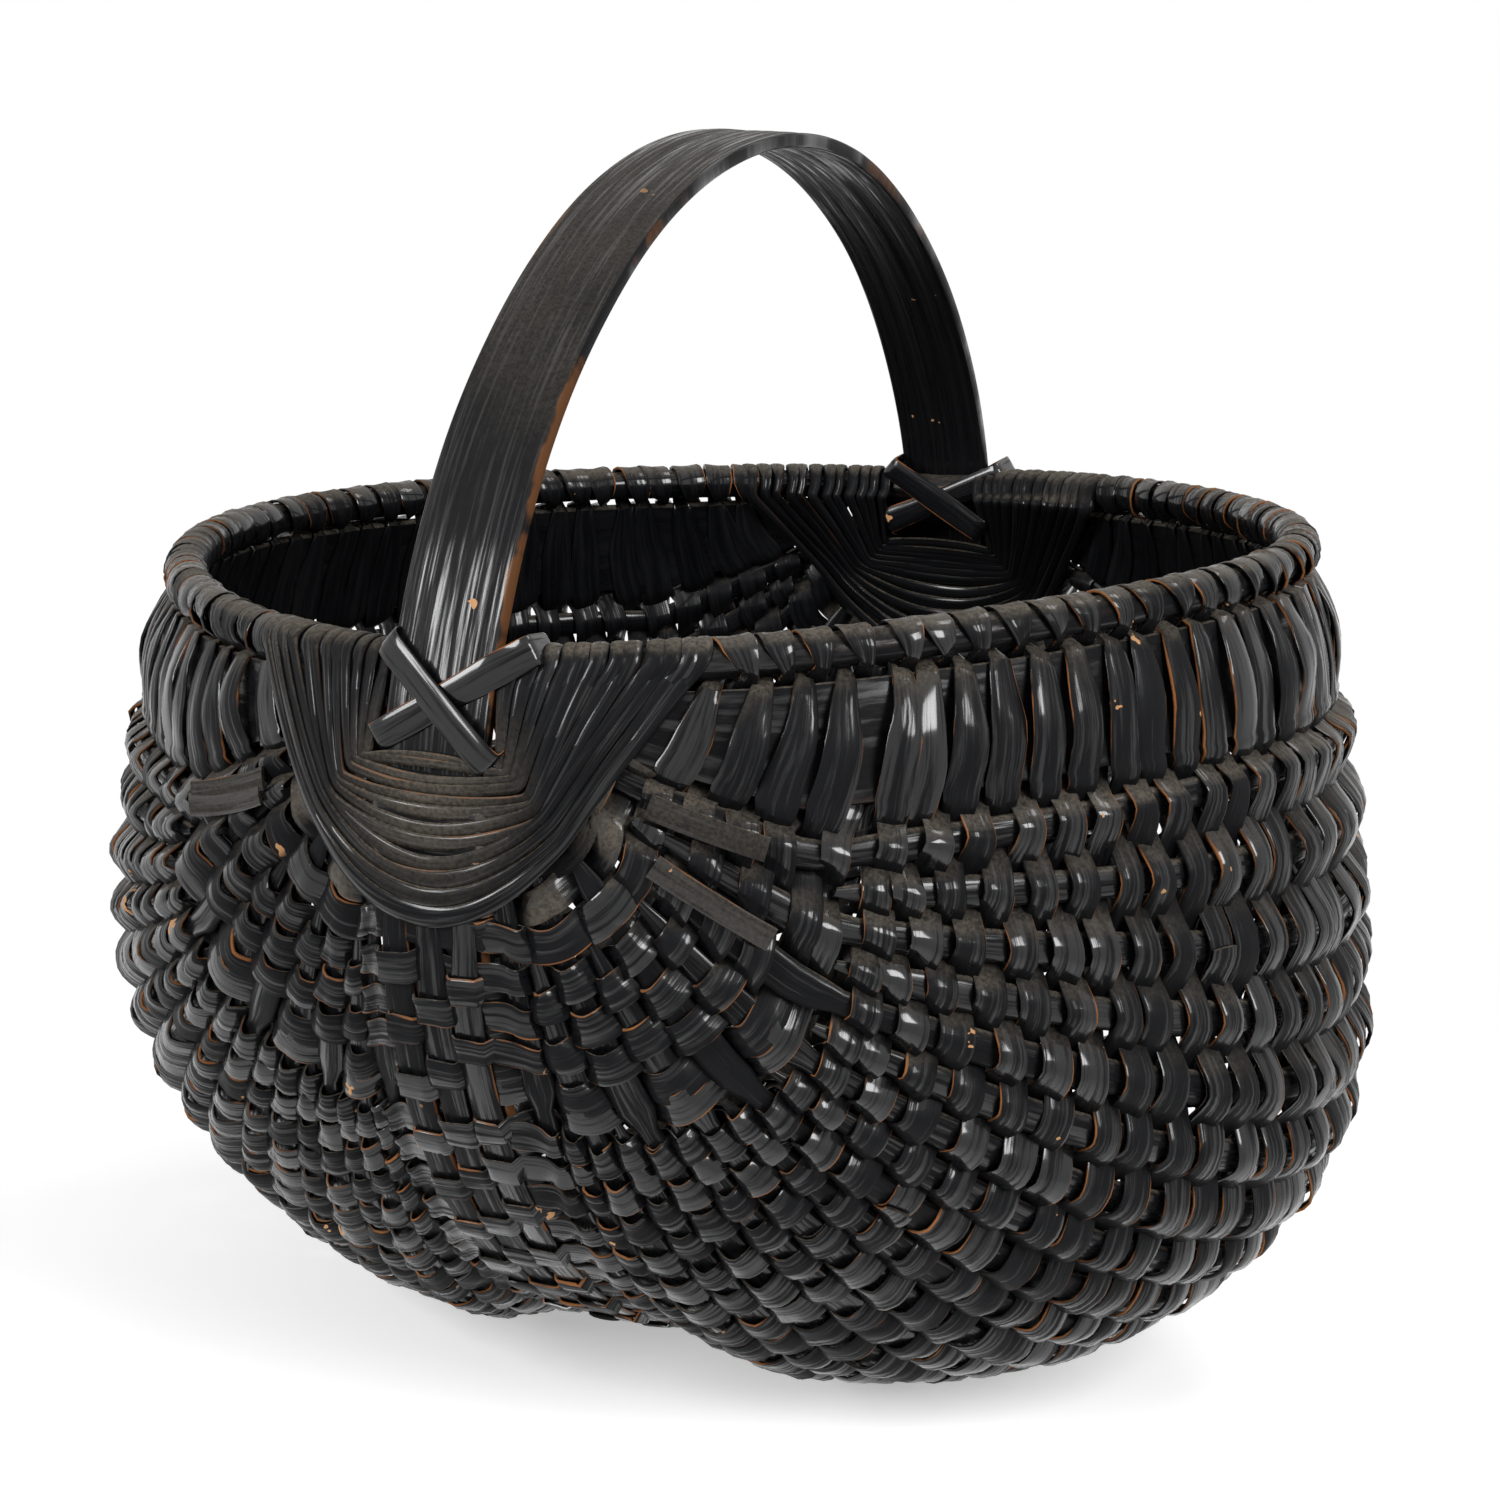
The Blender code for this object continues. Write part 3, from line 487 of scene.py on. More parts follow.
rim_rod(painted_oak("rim_oak", grain=1.5, gloss=0.18, rubbing=0.5, dust=0.5, relief=0.5))

# Side ribs. A wide flat board of oak lies under the rim of each lobe, shaved thin and lashed in at the
# ears. With the rim rod above it, and the ribs and the hoop's edge below, it is what the rows are woven
# about: these carriers are counted from the rim down.

SIDE_RIB_HEIGHT, SIDE_RIB_THICKNESS = 0.030, 0.0035
BOARD_SECTION = np.array([
    (1.0, -0.3), (1.0, 0.3), (0.97, 0.5), (0.5, 0.5), (0.0, 0.5), (-0.5, 0.5), (-0.97, 0.5),
    (-1.0, 0.3), (-1.0, -0.3), (-0.97, -0.5), (-0.5, -0.5), (0.0, -0.5), (0.5, -0.5), (0.97, -0.5),
])
BOARD_STATIONS = 180
RIB_TIP_TURNS = np.radians([80.0, 75.0, 61.0])
RIM_SPACE, RIB_EDGE_SPACE, FIRST_RIB_SPACE = 0.0030, 0.0112, 0.0090
RIBS = 17
UPPER_EDGE, LOWER_EDGE = 1, 2
EAR_ROOM = 0.170
RIB_GAPS = 1 + 0.42 * np.linspace(0, 1, RIBS - 1) ** 1.3
RIB_PLACES = np.concatenate([[0], np.cumsum(RIB_GAPS)]) / RIB_GAPS.sum()
TURN_GRID = np.radians(np.linspace(-89, 89, 357))
SHARE_STEPS = 700


def carrier_shares(side):
    """Share of the wall at each carrier, for a grid of turns, and the room that the ribs have there.

    The gaps between ribs grow from the spine to the side rib by 1 + 0.42 t^1.3, and all margins close
    up in proportion where the wall is shorter than the ear room."""
    shares = np.linspace(0, 1, SHARE_STEPS)
    run = run_along(wall_point(side, shares[None], TURN_GRID[:, None]))
    full = run[:, -1]
    snug = np.minimum(1, full / EAR_ROOM)
    upper = full - RIM_ROD / 2 - RIM_SPACE * snug
    lower = upper - SIDE_RIB_HEIGHT * snug
    first, last = FIRST_RIB_SPACE * snug, lower - RIB_EDGE_SPACE * snug
    ribs = [part_way(first, last, place) for place in RIB_PLACES]
    places = np.stack([full, upper, lower] + ribs[::-1] + [np.zeros_like(full)], axis=-1)
    return np.stack([np.interp(here, row, shares) for here, row in zip(places, run)]), last - first


CARRIER_SHARES, RIB_ROOM = ({side: carrier_shares(side)[n] for side in SIDES.values()} for n in (0, 1))


def share_at(side, carrier, turn):
    """Share of a carrier at a turn, read from the grid."""
    return np.interp(turn, TURN_GRID, CARRIER_SHARES[side][:, carrier])


def side_ribs(finish):
    """The boards: straight between the places of their two edges, but for a bow of 1 - v squared, as deep
    as the wall's own there, and thick along the wall's normal."""
    v, h = BOARD_SECTION.T
    mix = (1 + v)[:, None] / 2
    for name, side in SIDES.items():
        turn = np.linspace(-RIB_TIP_TURNS[0], RIB_TIP_TURNS[0], BOARD_STATIONS)
        shares = [share_at(side, edge, turn) for edge in (UPPER_EDGE, LOWER_EDGE)]
        edges = [wall_frame(side, share, turn) for share in shares]
        (upper, _, _, upper_out), (lower, _, _, lower_out) = edges
        bow = wall_point(side, (shares[0] + shares[1]) / 2, turn) - (upper + lower) / 2
        middle = lower[:, None] * (1 - mix) + upper[:, None] * mix + bow[:, None] * (1 - v**2)[:, None]
        facing = unit(lower_out[:, None] * (1 - mix) + upper_out[:, None] * mix)
        rings, across = facing_out(middle + facing * (SIDE_RIB_THICKNESS * h)[:, None], v)
        piece = loft(f"side_rib_{name}_board", [(rings, run_along(upper), across, 0.5, 0, False)], finish)
        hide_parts(f"side_rib_{name}")


RIB_OAK = painted_oak("rib_oak", grain=1.2, gloss=0.22, rubbing=0.5, dust=1.0, relief=0.5)
side_ribs(RIB_OAK)

# Whittled ribs. Each is a stick of split oak, shaved flat and oval and thinned to a tip at both ends.
# Every fourth goes in under the ear lashings, and the others are let in where there is room. Each lies
# under the name of the CAD rib that is nearest to it.

FIRST_RIB = 3
HOOP_CARRIER = FIRST_RIB + RIBS
CAD_RIBS, RIB_HOOP_SPACE = 12, 0.0180
RIB_STATIONS, RIB_SIDES = 90, 12
RIB_THICKNESSES = np.linspace(0.0036, 0.0056, RIBS)
RIB_FILLS, RIB_MOST_FILL = np.linspace(0.70, 0.36, RIBS), 0.76
RIB_TIP_HALF_WIDTH, RIB_TAPER = 0.0011, 0.030
RIB_SWELL = (0.1, 0.07)


def rib_reach(number):
    """Turn that a rib's tip reaches, counted from the spine."""
    if number % 4 == 0:
        return RIB_TIP_TURNS[0]
    return RIB_TIP_TURNS[1] if number % 2 == 0 else RIB_TIP_TURNS[2]


RIB_REACHES = np.array([rib_reach(number) for number in range(RIBS)])


def rib_scale(turn):
    """Thickness of the ribs towards the ears: the root of the cosine of the turn, or of 0.2 at least."""
    return np.sqrt(np.maximum(np.cos(turn), 0.2))


def rib_part(side, number, seed):
    """One rib: a flattened oval, |v|^2.5 + |h|^2.5 = 1, as wide as its share of the gap to its neighbours."""
    reach = RIB_REACHES[number]
    turn = np.linspace(-reach, reach, RIB_STATIONS)
    point, _, up, out = wall_frame(side, share_at(side, HOOP_CARRIER - 1 - number, turn), turn)
    gap = np.interp(turn, TURN_GRID, RIB_ROOM[side]) * np.gradient(RIB_PLACES)[number]
    middle_half = RIB_ROOM[side].max() * np.gradient(RIB_PLACES)[number] * RIB_FILLS[number] / 2
    spare = np.select([np.abs(turn) > RIB_TIP_TURNS[1], np.abs(turn) > RIB_TIP_TURNS[2]], [4, 2], 1)
    tip = np.clip((reach - np.abs(turn)) * RIM_HALF_LENGTH / RIB_TAPER, 0, 1)
    run = run_along(point)
    half = np.minimum(middle_half, gap * spare * RIB_MOST_FILL / 2) * (1 + wander(seed, run, *RIB_SWELL))
    half = np.maximum(half, RIB_TIP_HALF_WIDTH) * (0.35 + 0.65 * tip**0.5)
    thick = RIB_THICKNESSES[number] / 2 * rib_scale(turn) * (0.6 + 0.4 * tip)
    angle = np.arange(RIB_SIDES) * 2 * math.pi / RIB_SIDES
    v, h = (np.sign(wave) * np.abs(wave) ** 0.8 for wave in (np.cos(angle), np.sin(angle)))
    rings = point[:, None] + up[:, None] * (half[:, None] * v)[..., None]
    rings, across = facing_out(rings + out[:, None] * (thick[:, None] * h)[..., None], v)
    return rings, run, across, np.random.default_rng(seed).uniform(), 0, False


def ribs(finish):
    """The ribs of both lobes, shared out among the CAD ribs."""
    for name, side in SIDES.items():
        room = RIB_ROOM[side].max()
        cad_gap = (room + FIRST_RIB_SPACE - RIB_HOOP_SPACE) / (CAD_RIBS - 1)
        nearest = np.rint((FIRST_RIB_SPACE + RIB_PLACES * room - RIB_HOOP_SPACE) / cad_gap)
        nearest = np.clip(nearest, 0, CAD_RIBS - 1).astype(int)
        for cad_number in range(CAD_RIBS):
            numbers = np.flatnonzero(nearest == cad_number)
            parts = [rib_part(side, number, 500 + number + RIBS * (side + 1)) for number in numbers]
            piece = loft(f"rib_{name}_{cad_number + 1:02d}_whittled", parts, finish)
            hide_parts(f"rib_{name}_{cad_number + 1:02d}")


ribs(RIB_OAK)

# Spine splints. Three narrow flat splints of oak lie side by side down the hoop's outer face, their ends
# tucked under the ear lashings. The weave holds them: each row passes beneath two and over the third.

SPLINT_SECTION = np.array([
    (1.0, -0.2), (1.0, 0.2), (0.9, 0.5), (0.35, 0.5), (-0.35, 0.5), (-0.9, 0.5),
    (-1.0, 0.2), (-1.0, -0.2), (-0.9, -0.5), (0.0, -0.5), (0.9, -0.5),
])
SPLINT_THICKNESS, SPLINT_CUP = 0.0009, 0.09
COLUMN_X = (0.0093, 0.0, -0.0093)
COLUMN_HALF, COLUMN_THICKNESS = 0.0041, 0.0012
COLUMN_BASE = HANDLE_THICKNESS / 2 + SPLINT_THICKNESS + 2 * SEAT
COLUMN_REACH, COLUMN_TUCK, COLUMN_STATIONS = math.radians(87), math.radians(9), 160
COLUMN_SWAY, COLUMN_SWELL, COLUMN_TWIST = (0.12, 0.0007), (0.09, 0.07), (0.08, 0.05)


def directions(points, closed):
    """Unit vectors along a line of places, each from its two neighbours."""
    if closed:
        return unit(np.roll(points, -1, axis=0) - np.roll(points, 1, axis=0))
    return unit(np.gradient(points, axis=0))


def splint_part(
    points, across, normals, half, tone, stand, twist=0, closed=False, thickness=SPLINT_THICKNESS,
    cup=SPLINT_CUP,
):
    """A splint through places: square to its own run, turned about it by the twist, and its section sunk
    at the edges by the cup times the half width times v squared."""
    tangents = directions(points, closed)
    across = unit(across - tangents * np.sum(across * tangents, axis=-1, keepdims=True))
    facing = np.cross(tangents, across)
    normals = facing * np.sign(np.sum(facing * normals, axis=-1, keepdims=True))
    angle, half = (np.broadcast_to(value, len(points))[:, None] for value in (twist, half))
    cosine, sine = np.cos(angle), np.sin(angle)
    across, normals = across * cosine + normals * sine, normals * cosine - across * sine
    v, h = SPLINT_SECTION.T
    rise = h * thickness - cup * half * v**2
    rings = points[:, None] + across[:, None] * (half * v)[..., None] + normals[:, None] * rise[..., None]
    rings, v = facing_out(rings, v, closed)
    return rings, run_along(points), v, tone, stand, closed


def spine_columns(finish):
    """The three splints, on the hoop's curve and as high over it as a row that passes beneath them."""
    angle = np.linspace(-COLUMN_REACH, COLUMN_REACH, COLUMN_STATIONS)
    point, normal = hoop_place(angle)
    tuck = np.clip((np.abs(angle) - COLUMN_REACH) / COLUMN_TUCK + 1, 0, 1)
    height = COLUMN_BASE + COLUMN_THICKNESS / 2 - tuck * (SPLINT_THICKNESS + SEAT)
    run = run_along(point)
    parts = []
    for number, x in enumerate(COLUMN_X):
        places = point + normal * height[:, None]
        places[:, 0] += x + wander(30 + number, run, *COLUMN_SWAY)
        across = np.broadcast_to((1.0, 0.0, 0.0), places.shape)
        half = COLUMN_HALF * (1 + wander(33 + number, run, *COLUMN_SWELL)) * (1 - 0.3 * tuck)
        twist = wander(36 + number, run, *COLUMN_TWIST)
        tone = 0.2 + 0.3 * number
        parts.append(splint_part(places, across, normal, half, tone, 0.25, twist, thickness=COLUMN_THICKNESS))
    loft("spine_splints", parts, finish)


WEAVER_OAK = painted_oak("weaver_oak", grain=1.0, gloss=0.13, rubbing=0.9, dust=0.85, relief=0.45)
spine_columns(WEAVER_OAK)

# Weaving splints. Long thin strips of split oak follow each other from rim to rim, over one rib and
# under the next, turn back round the rim rod and run on as the next row, which passes the other way.
# Where one strip ends, its end lies over the start of the next for three ribs.

SPLINT_HALF, SAMPLES, MEETING_STEPS = 0.0031, 8, 8
ROW_COUNT, ROW_EDGE, ROW_JITTER = 76, math.radians(69.0), 0.0010
CAD_ROWS, CAD_ROWS_PER_WEAVER = 29, 2
LEAD_AT, LEAD_SHARES = (0.0, 0.3, 0.6, 0.75, 0.88, 1.0), (0.11, 0.13, 0.13, 0.10, 0.045, 0.0)
RIB_CROWN, SIDE_RIB_BOW, LEAN, TILT = 0.0016, 0.0030, 0.0003, 0.17
CROWN_WANDER, BOW_WANDER, LEAN_WANDER = (7, 0.8), (9, 0.6), (11, 0.8)
BOW_FADE = np.radians((63.0, 67.0))
ROW_FILL, SPREAD_RANGE = 1.34, (0.90, 1.45)
BOARD_SPREAD, BOARD_EASE = 1.34, 0.6
CROSSING_SAMPLES, CROSSING_SLOPE, LASHED_Z = 27, 0.0022, -0.068
RIM_TWIST, RIM_TWIST_SIDES = 1.2, (0.2, 1)
WRAP_SPREAD, UNDER_ROD_SPREAD = 1.30, 0.62
WRAP_DEGREES = np.linspace(-48, 228, 15)
SPLINT_SWAY, SPLINT_TWIST = (0.034, 0.0006), (0.028, 0.10)
SPLINT_SWELL, SLOW_SWELL = (0.09, 0.08), (0.9, 0.08)
SPLICE_SAMPLES = 3 * SAMPLES


def even_turns(first, last, count):
    """Turns spaced evenly along the rim."""
    fine = np.linspace(first, last, PROFILE_STEPS)
    run = run_along(wall_point(1, 1, fine))
    return np.interp((np.arange(count) + 0.5) / count * run[-1], run, fine)


ROW_TURNS = even_turns(-ROW_EDGE, ROW_EDGE, ROW_COUNT)


def line_turn(rim_turn, share):
    """Turn of a woven line at a share of the wall: it leans towards its ear below the rim."""
    return rim_turn * (1 + np.interp(share, LEAD_AT, LEAD_SHARES))


def over_and_under(u, present, sign):
    """How far a row stands out at each place, from -1 inside a carrier to 1 outside it, with the plain
    cosine of the count of carriers met below the board, and that count.

    The cosine is flattened over each rib as far as the rib fills its gap, by 1.5 w - 0.5 w^3 once or
    twice, and past the last rib it is eased out to the hoop."""
    carriers = np.arange(HOOP_CARRIER + 1)
    count = np.interp(u, carriers[present], np.arange(present.sum()))
    beat = np.maximum(count - LOWER_EDGE, 0)
    wave = np.cos(math.pi * beat)
    once = wave * (1.5 - 0.5 * wave**2)
    twice = once * (1.5 - 0.5 * once**2)
    fills = (RIB_FILLS[::-1] - RIB_FILLS[-1]) / (RIB_FILLS[0] - RIB_FILLS[-1])
    flat = np.interp(u, carriers, np.concatenate([[0, 0, 0], fills, [0]]))
    flattened = (once - wave) * np.minimum(2 * flat, 1) + (twice - once) * np.maximum(2 * flat - 1, 0)
    last = carriers[present][-2]
    at_last = sign * math.cos(math.pi * (present.sum() - 2 - LOWER_EDGE))
    ease = np.clip((u - last) / (HOOP_CARRIER - last), 0, 1)
    eased = at_last + (1 - at_last) * ease**2 * (3 - 2 * ease)
    return np.where(u > last, eased, sign * (wave + flattened)), wave, beat


def row_spread(side, rim_turn, share, run, u):
    """Width of a row, as a share of a plain splint's: its fill of the distance between neighbouring rows,
    measured square to its run, and more on the board."""
    half_step = np.interp(rim_turn, ROW_TURNS, np.gradient(ROW_TURNS)) / 2
    pitch = wall_point(side, share, line_turn(rim_turn + half_step, share))
    pitch = pitch - wall_point(side, share, line_turn(rim_turn - half_step, share))
    pitch = np.linalg.norm(pitch - run * np.sum(pitch * run, axis=-1, keepdims=True), axis=-1)
    spread = np.clip(pitch * ROW_FILL / (2 * SPLINT_HALF), *SPREAD_RANGE)
    return spread * np.interp(u, (LOWER_EDGE, LOWER_EDGE + BOARD_EASE), (BOARD_SPREAD, 1))


def row_half(side, rim_turn, present, sign, seed):
    """One row on one lobe, from the side rib's upper edge down to the hoop's edge.

    It stands off the wall by its over and under times half the thickness met there, with a crown over
    each rib and a bow over the board. Between ribs it leans and tilts by the sine of the count."""
    carriers = np.arange(HOOP_CARRIER + 1)
    turns = np.full(len(carriers), rim_turn)
    for _ in range(MEETING_STEPS):
        shares = np.array([share_at(side, carrier, turn) for carrier, turn in zip(carriers, turns)])
        turns = line_turn(rim_turn, shares)
    u = np.linspace(UPPER_EDGE, HOOP_CARRIER, (HOOP_CARRIER - UPPER_EDGE) * SAMPLES + 1)
    share = np.interp(u, carriers, shares)
    turn = line_turn(rim_turn, share)
    point, along, _, out = wall_frame(side, share, turn)
    stand, wave, beat = over_and_under(u, present, sign)
    ribbed = RIB_THICKNESSES[::-1] * rib_scale(turns[FIRST_RIB:HOOP_CARRIER])
    thick = np.concatenate([[RIM_ROD], [SIDE_RIB_THICKNESS] * 2, ribbed, [HANDLE_THICKNESS]])
    lift = np.interp(u, carriers, thick) / 2 + SPLINT_THICKNESS / 2 + SEAT
    hoop_normal = hoop_place(turn * hoop_angle_at(-EAR_DROP) / RIGHT_ANGLE)[1]
    near_hoop = np.clip(u - HOOP_CARRIER + 1, 0, 1)[:, None]
    out = unit(out * (1 - near_hoop) + hoop_normal * near_hoop)
    below_board, swing = np.clip(u - LOWER_EDGE, 0, 1), np.sin(math.pi * beat)
    crown = RIB_CROWN * rib_scale(turn) * np.clip(sign * wave, 0, 1) ** 2 * below_board
    crown = crown * (1 + wander(seed, u, *CROWN_WANDER)) * np.clip(HOOP_CARRIER - u, 0, 1)
    crown = crown * (1 - np.maximum(-out[:, 2], 0) ** 3)
    bow = SIDE_RIB_BOW * np.interp(abs(rim_turn), BOW_FADE, (1, 0.1)) * np.maximum(sign, 0)
    bow = bow * np.sin(math.pi * np.clip(u - UPPER_EDGE, 0, 1)) * (1 + wander(seed + 50, u, *BOW_WANDER))
    lean = LEAN * sign * swing * (1 + wander(seed + 60, u, *LEAN_WANDER))
    tilt = TILT * sign * np.abs(swing) * below_board
    spread = row_spread(side, rim_turn, share, directions(point, False), u)
    point = point + out * (stand * lift + crown + bow)[:, None] + along * lean[:, None]
    return point, along, out * sign, stand, spread, tilt


def across_hoop(rim_turn, number):
    """The middle of a row on the handle hoop: flat, but for an eased step up over one spine splint."""
    turn = line_turn(rim_turn, 0)
    point, normal = hoop_place(turn * hoop_angle_at(-EAR_DROP) / RIGHT_ANGLE)
    x = np.linspace(HANDLE_WIDTH / 2, -HANDLE_WIDTH / 2, CROSSING_SAMPLES + 2)[1:-1]
    over = np.clip((COLUMN_HALF - np.abs(x - COLUMN_X[number % len(COLUMN_X)])) / CROSSING_SLOPE + 0.8, 0, 1)
    over = over**2 * (3 - 2 * over) * (point[2] < LASHED_Z)
    step = COLUMN_THICKNESS + SPLINT_THICKNESS + 2 * SEAT
    height = HANDLE_THICKNESS / 2 + SPLINT_THICKNESS / 2 + SEAT + step * over
    return point + normal * height[:, None] + np.stack([x, 0 * x, 0 * x], axis=-1), normal, over


def row(rim_turn, sign, number):
    """A whole row from the right side rib to the left: points, across, normals, stand, spread and tilt."""
    met = line_turn(rim_turn, CARRIER_SHARES[1][len(TURN_GRID) // 2])
    present = np.ones(HOOP_CARRIER + 1, bool)
    present[FIRST_RIB:HOOP_CARRIER] = RIB_REACHES[::-1] > np.abs(met[FIRST_RIB:HOOP_CARRIER])
    right, left = (row_half(side, rim_turn, present, sign, 100 + 2 * number + (side < 0)) for side in (1, -1))
    points, normal, over = across_hoop(rim_turn, number)
    normals, along = (np.broadcast_to(vector, points.shape) for vector in (normal * sign, right[1][-1]))
    middle = (points, along, normals, over, np.linspace(right[4][-1], left[4][-1], len(points)), 0 * over)
    line = [np.concatenate([a, b, c[::-1]]) for a, b, c in zip(right, middle, left)]
    count = np.arange(len(line[0]))
    from_rim = np.minimum(count, count[::-1]) / SAMPLES
    line[4] = line[4] * np.interp(from_rim, (0, 0.45), (UNDER_ROD_SPREAD, 1))
    return line


def rim_wrap(side, start_turn, end_turn, degrees, lift=0.0):
    """Over the rim rod, from one row to the next: a circle about the rod that moves along it."""
    turn = np.linspace(start_turn, end_turn, len(degrees))
    point, along, up, out = wall_frame(side, 1, turn)
    angle = np.radians(degrees)[:, None]
    radial = out * np.cos(angle) + up * np.sin(angle)
    radius = RIM_ROD / 2 + SEAT + SPLINT_THICKNESS / 2 + lift
    spread = np.interp(np.abs(degrees - 90), (60, 135), (WRAP_SPREAD, UNDER_ROD_SPREAD))
    return [point + radial * radius, along, -radial, np.ones(len(degrees)), spread, 0 * spread]


def weave():
    """The whole weave as one run of places, and where each row starts in it."""
    places, starts, total = [], [], 0
    turns = ROW_TURNS + np.random.default_rng(3).normal(0, ROW_JITTER, ROW_COUNT) / RIM_HALF_LENGTH
    for number, turn in enumerate(turns):
        leftward = number % 2 == 0
        line = row(turn, -1 if leftward else 1, number)
        if not leftward:
            line = [column[::-1] for column in line]
        starts.append(total)
        places.append(line)
        total += len(line[0])
        if number + 1 < ROW_COUNT:
            degrees = WRAP_DEGREES if leftward else WRAP_DEGREES[::-1]
            places.append(rim_wrap(-1 if leftward else 1, turn, turns[number + 1], degrees))
            total += len(degrees)
    return [np.concatenate(columns) for columns in zip(*places)], np.array(starts)


def weaver_pieces(finish):
    """The weave cut into pieces, one for each weaver of the CAD part: each piece runs on over the next
    one's start as a real splice does, lying on it, and both have bare cut ends."""
    (points, along, normals, stand, widths, tilt), starts = weave()
    run = run_along(points)
    points = points + along * wander(5, run, *SPLINT_SWAY)[:, None]
    half = SPLINT_HALF * widths * (1 + wander(6, run, *SPLINT_SWELL) + wander(7, run, *SLOW_SWELL))
    turned = RIM_TWIST * np.maximum(1 - widths, 0) * np.sign(wander(12, run, *RIM_TWIST_SIDES))
    twist = tilt + wander(8, run, *SPLINT_TWIST) + turned
    rng = np.random.default_rng(9)
    tones = rng.uniform(0, 1, ROW_COUNT)
    tone = tones[np.searchsorted(starts, np.arange(len(points)), side="right") - 1]
    shares = np.append(np.arange(0, CAD_ROWS, CAD_ROWS_PER_WEAVER), CAD_ROWS) / CAD_ROWS
    first_rows = np.rint(shares * ROW_COUNT).astype(int)
    cuts = [starts[number] + SAMPLES * rng.integers(4, 16) for number in first_rows[1:-1]]
    for number, (start, end) in enumerate(zip([0] + cuts, cuts + [len(points)])):
        stop = min(end + SPLICE_SAMPLES, len(points))
        here = slice(start, stop)
        raised = np.clip((np.arange(start, stop) - end) / SAMPLES + 1, 0, 1) * (stop > end)
        moved = points[here] + normals[here] * (raised * (SPLINT_THICKNESS + SEAT))[:, None]
        strip = (column[here] for column in (along, normals, half, tone, stand, twist))
        piece = loft(f"weaver_{number + 1:02d}_splint", [splint_part(moved, *strip)], finish)
        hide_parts(f"weaver_{number + 1:02d}")


weaver_pieces(WEAVER_OAK)

# Ear lashings. At each ear a splint of oak is wound over the rim on both sides of the hoop: every turn
# comes down from the rim, folds at the mitre beside the hoop, crosses the hoop and goes up to the rim
# again. It covers the first short rows of the weave, and loose cut ends stick out from under it.

EARS = {"near": -1, "far": 1}
LASHING_TURNS = 12
LASHING_FILL, LASHING_HALVES = 0.55, (0.0014, 0.0032)
LASHING_THICKNESS, LASHING_CUP = 0.0010, 0.22
LASHING_JITTER, LASHING_SWELL, LASHING_TWIST = 0.0006, (0.05, 0.16), (0.07, 0.12)
FIRST_TURN_X, LAST_TURN_X = 0.0175, 0.0590
FIRST_MITRE, LAST_MITRE = (0.0190, -0.0200), (0.0350, -0.0345)
FIRST_CROSSING_Z, LAST_CROSSING_Z = -0.0180, -0.0575
STEEPEST_SHINGLE, SHINGLE_STEP, LEAST_SPACING = 0.42, 1.1 * LASHING_THICKNESS, 0.0012
EAR_LIFT, EAR_BULGE, BULGE_Z, BULGE_EASE = 0.0010, 0.0020, -0.040, 0.014
EAR_SAMPLES, FACE_STEPS, ROUNDING = 210, 24, 5
OVER_ROD = np.linspace(12, 168, 9)
EAR_TOP, EAR_REACH = 0.004, 0.062
EAR_TURNS, EAR_SHARES = np.radians(np.linspace(66, 83, 30)), np.linspace(0.3, 0.95, 12)
EAR_DEPTH_AT_RIM, EAR_DEPTH_BELOW, EAR_DEPTH_EASE = 0.0150, 0.0085, 0.030
DUSTY_Z, DUSTY_REACH = -0.026, 0.024
SHORT_ROWS = 4
SHORT_ROW_SWELL, SHORT_ROW_TWIST = (0.09, 0.1), (0.03, 0.10)
LOOSE_ENDS, LOOSE_STATIONS, LOOSE_SPAN, LOOSE_LIFT = 2, 14, 9.0, (0.0045, 0.0080)
LOOSE_TURNS, LOOSE_SHARES, LOOSE_DRIFT = (73, 77), (0.55, 0.75), (-0.02, 0.06)


def ear_powers(x, z):
    """The terms of the fitted ear surface: even in x, square in z."""
    x2 = x * x
    return np.stack([np.ones_like(x), x2, x2 * x2, x2**3, z, z * z, x2 * z, x2 * x2 * z, x2 * z * z], axis=-1)


def ear_surface():
    """Distance of the ear's outer face from the middle of the basket, as terms in x and z in decimetres.

    It is fitted by least squares to the hoop's outer face, the front of the rim rod and the wall."""
    point, normal = hoop_place(hoop_angle_at(np.linspace(EAR_TOP, -EAR_REACH, 34)))
    hoop = point + normal * HANDLE_THICKNESS / 2
    hoops = [hoop + np.array([x, 0, 0]) for x in np.linspace(-HANDLE_WIDTH / 2, HANDLE_WIDTH / 2, 5)]
    rods, walls = [], []
    for side in SIDES.values():
        middle, _, _, out = wall_frame(side, 1, EAR_TURNS)
        rods.append(middle + out * RIM_ROD / 2)
        for share in EAR_SHARES:
            middle, _, _, out = wall_frame(side, share, EAR_TURNS)
            walls.append(middle + out * WALL)
    points = np.concatenate(hoops + rods + rods + walls)
    x, y, z = points[(points[:, 2] > -EAR_REACH) & (np.abs(points[:, 0]) < EAR_REACH)].T
    return np.linalg.lstsq(ear_powers(10 * x, 10 * z), y, rcond=None)[0]


EAR_TERMS = ear_surface()


def ear_y(x, z):
    """Outer face of the ear at these places."""
    return ear_powers(10 * x, 10 * z) @ EAR_TERMS


def ear_depth(z):
    """Distance between the ear's outer and inner faces: the rod and the hoop at the rim, ribs below it."""
    return part_way(EAR_DEPTH_BELOW, EAR_DEPTH_AT_RIM, np.clip(1 + z / EAR_DEPTH_EASE, 0, 1))


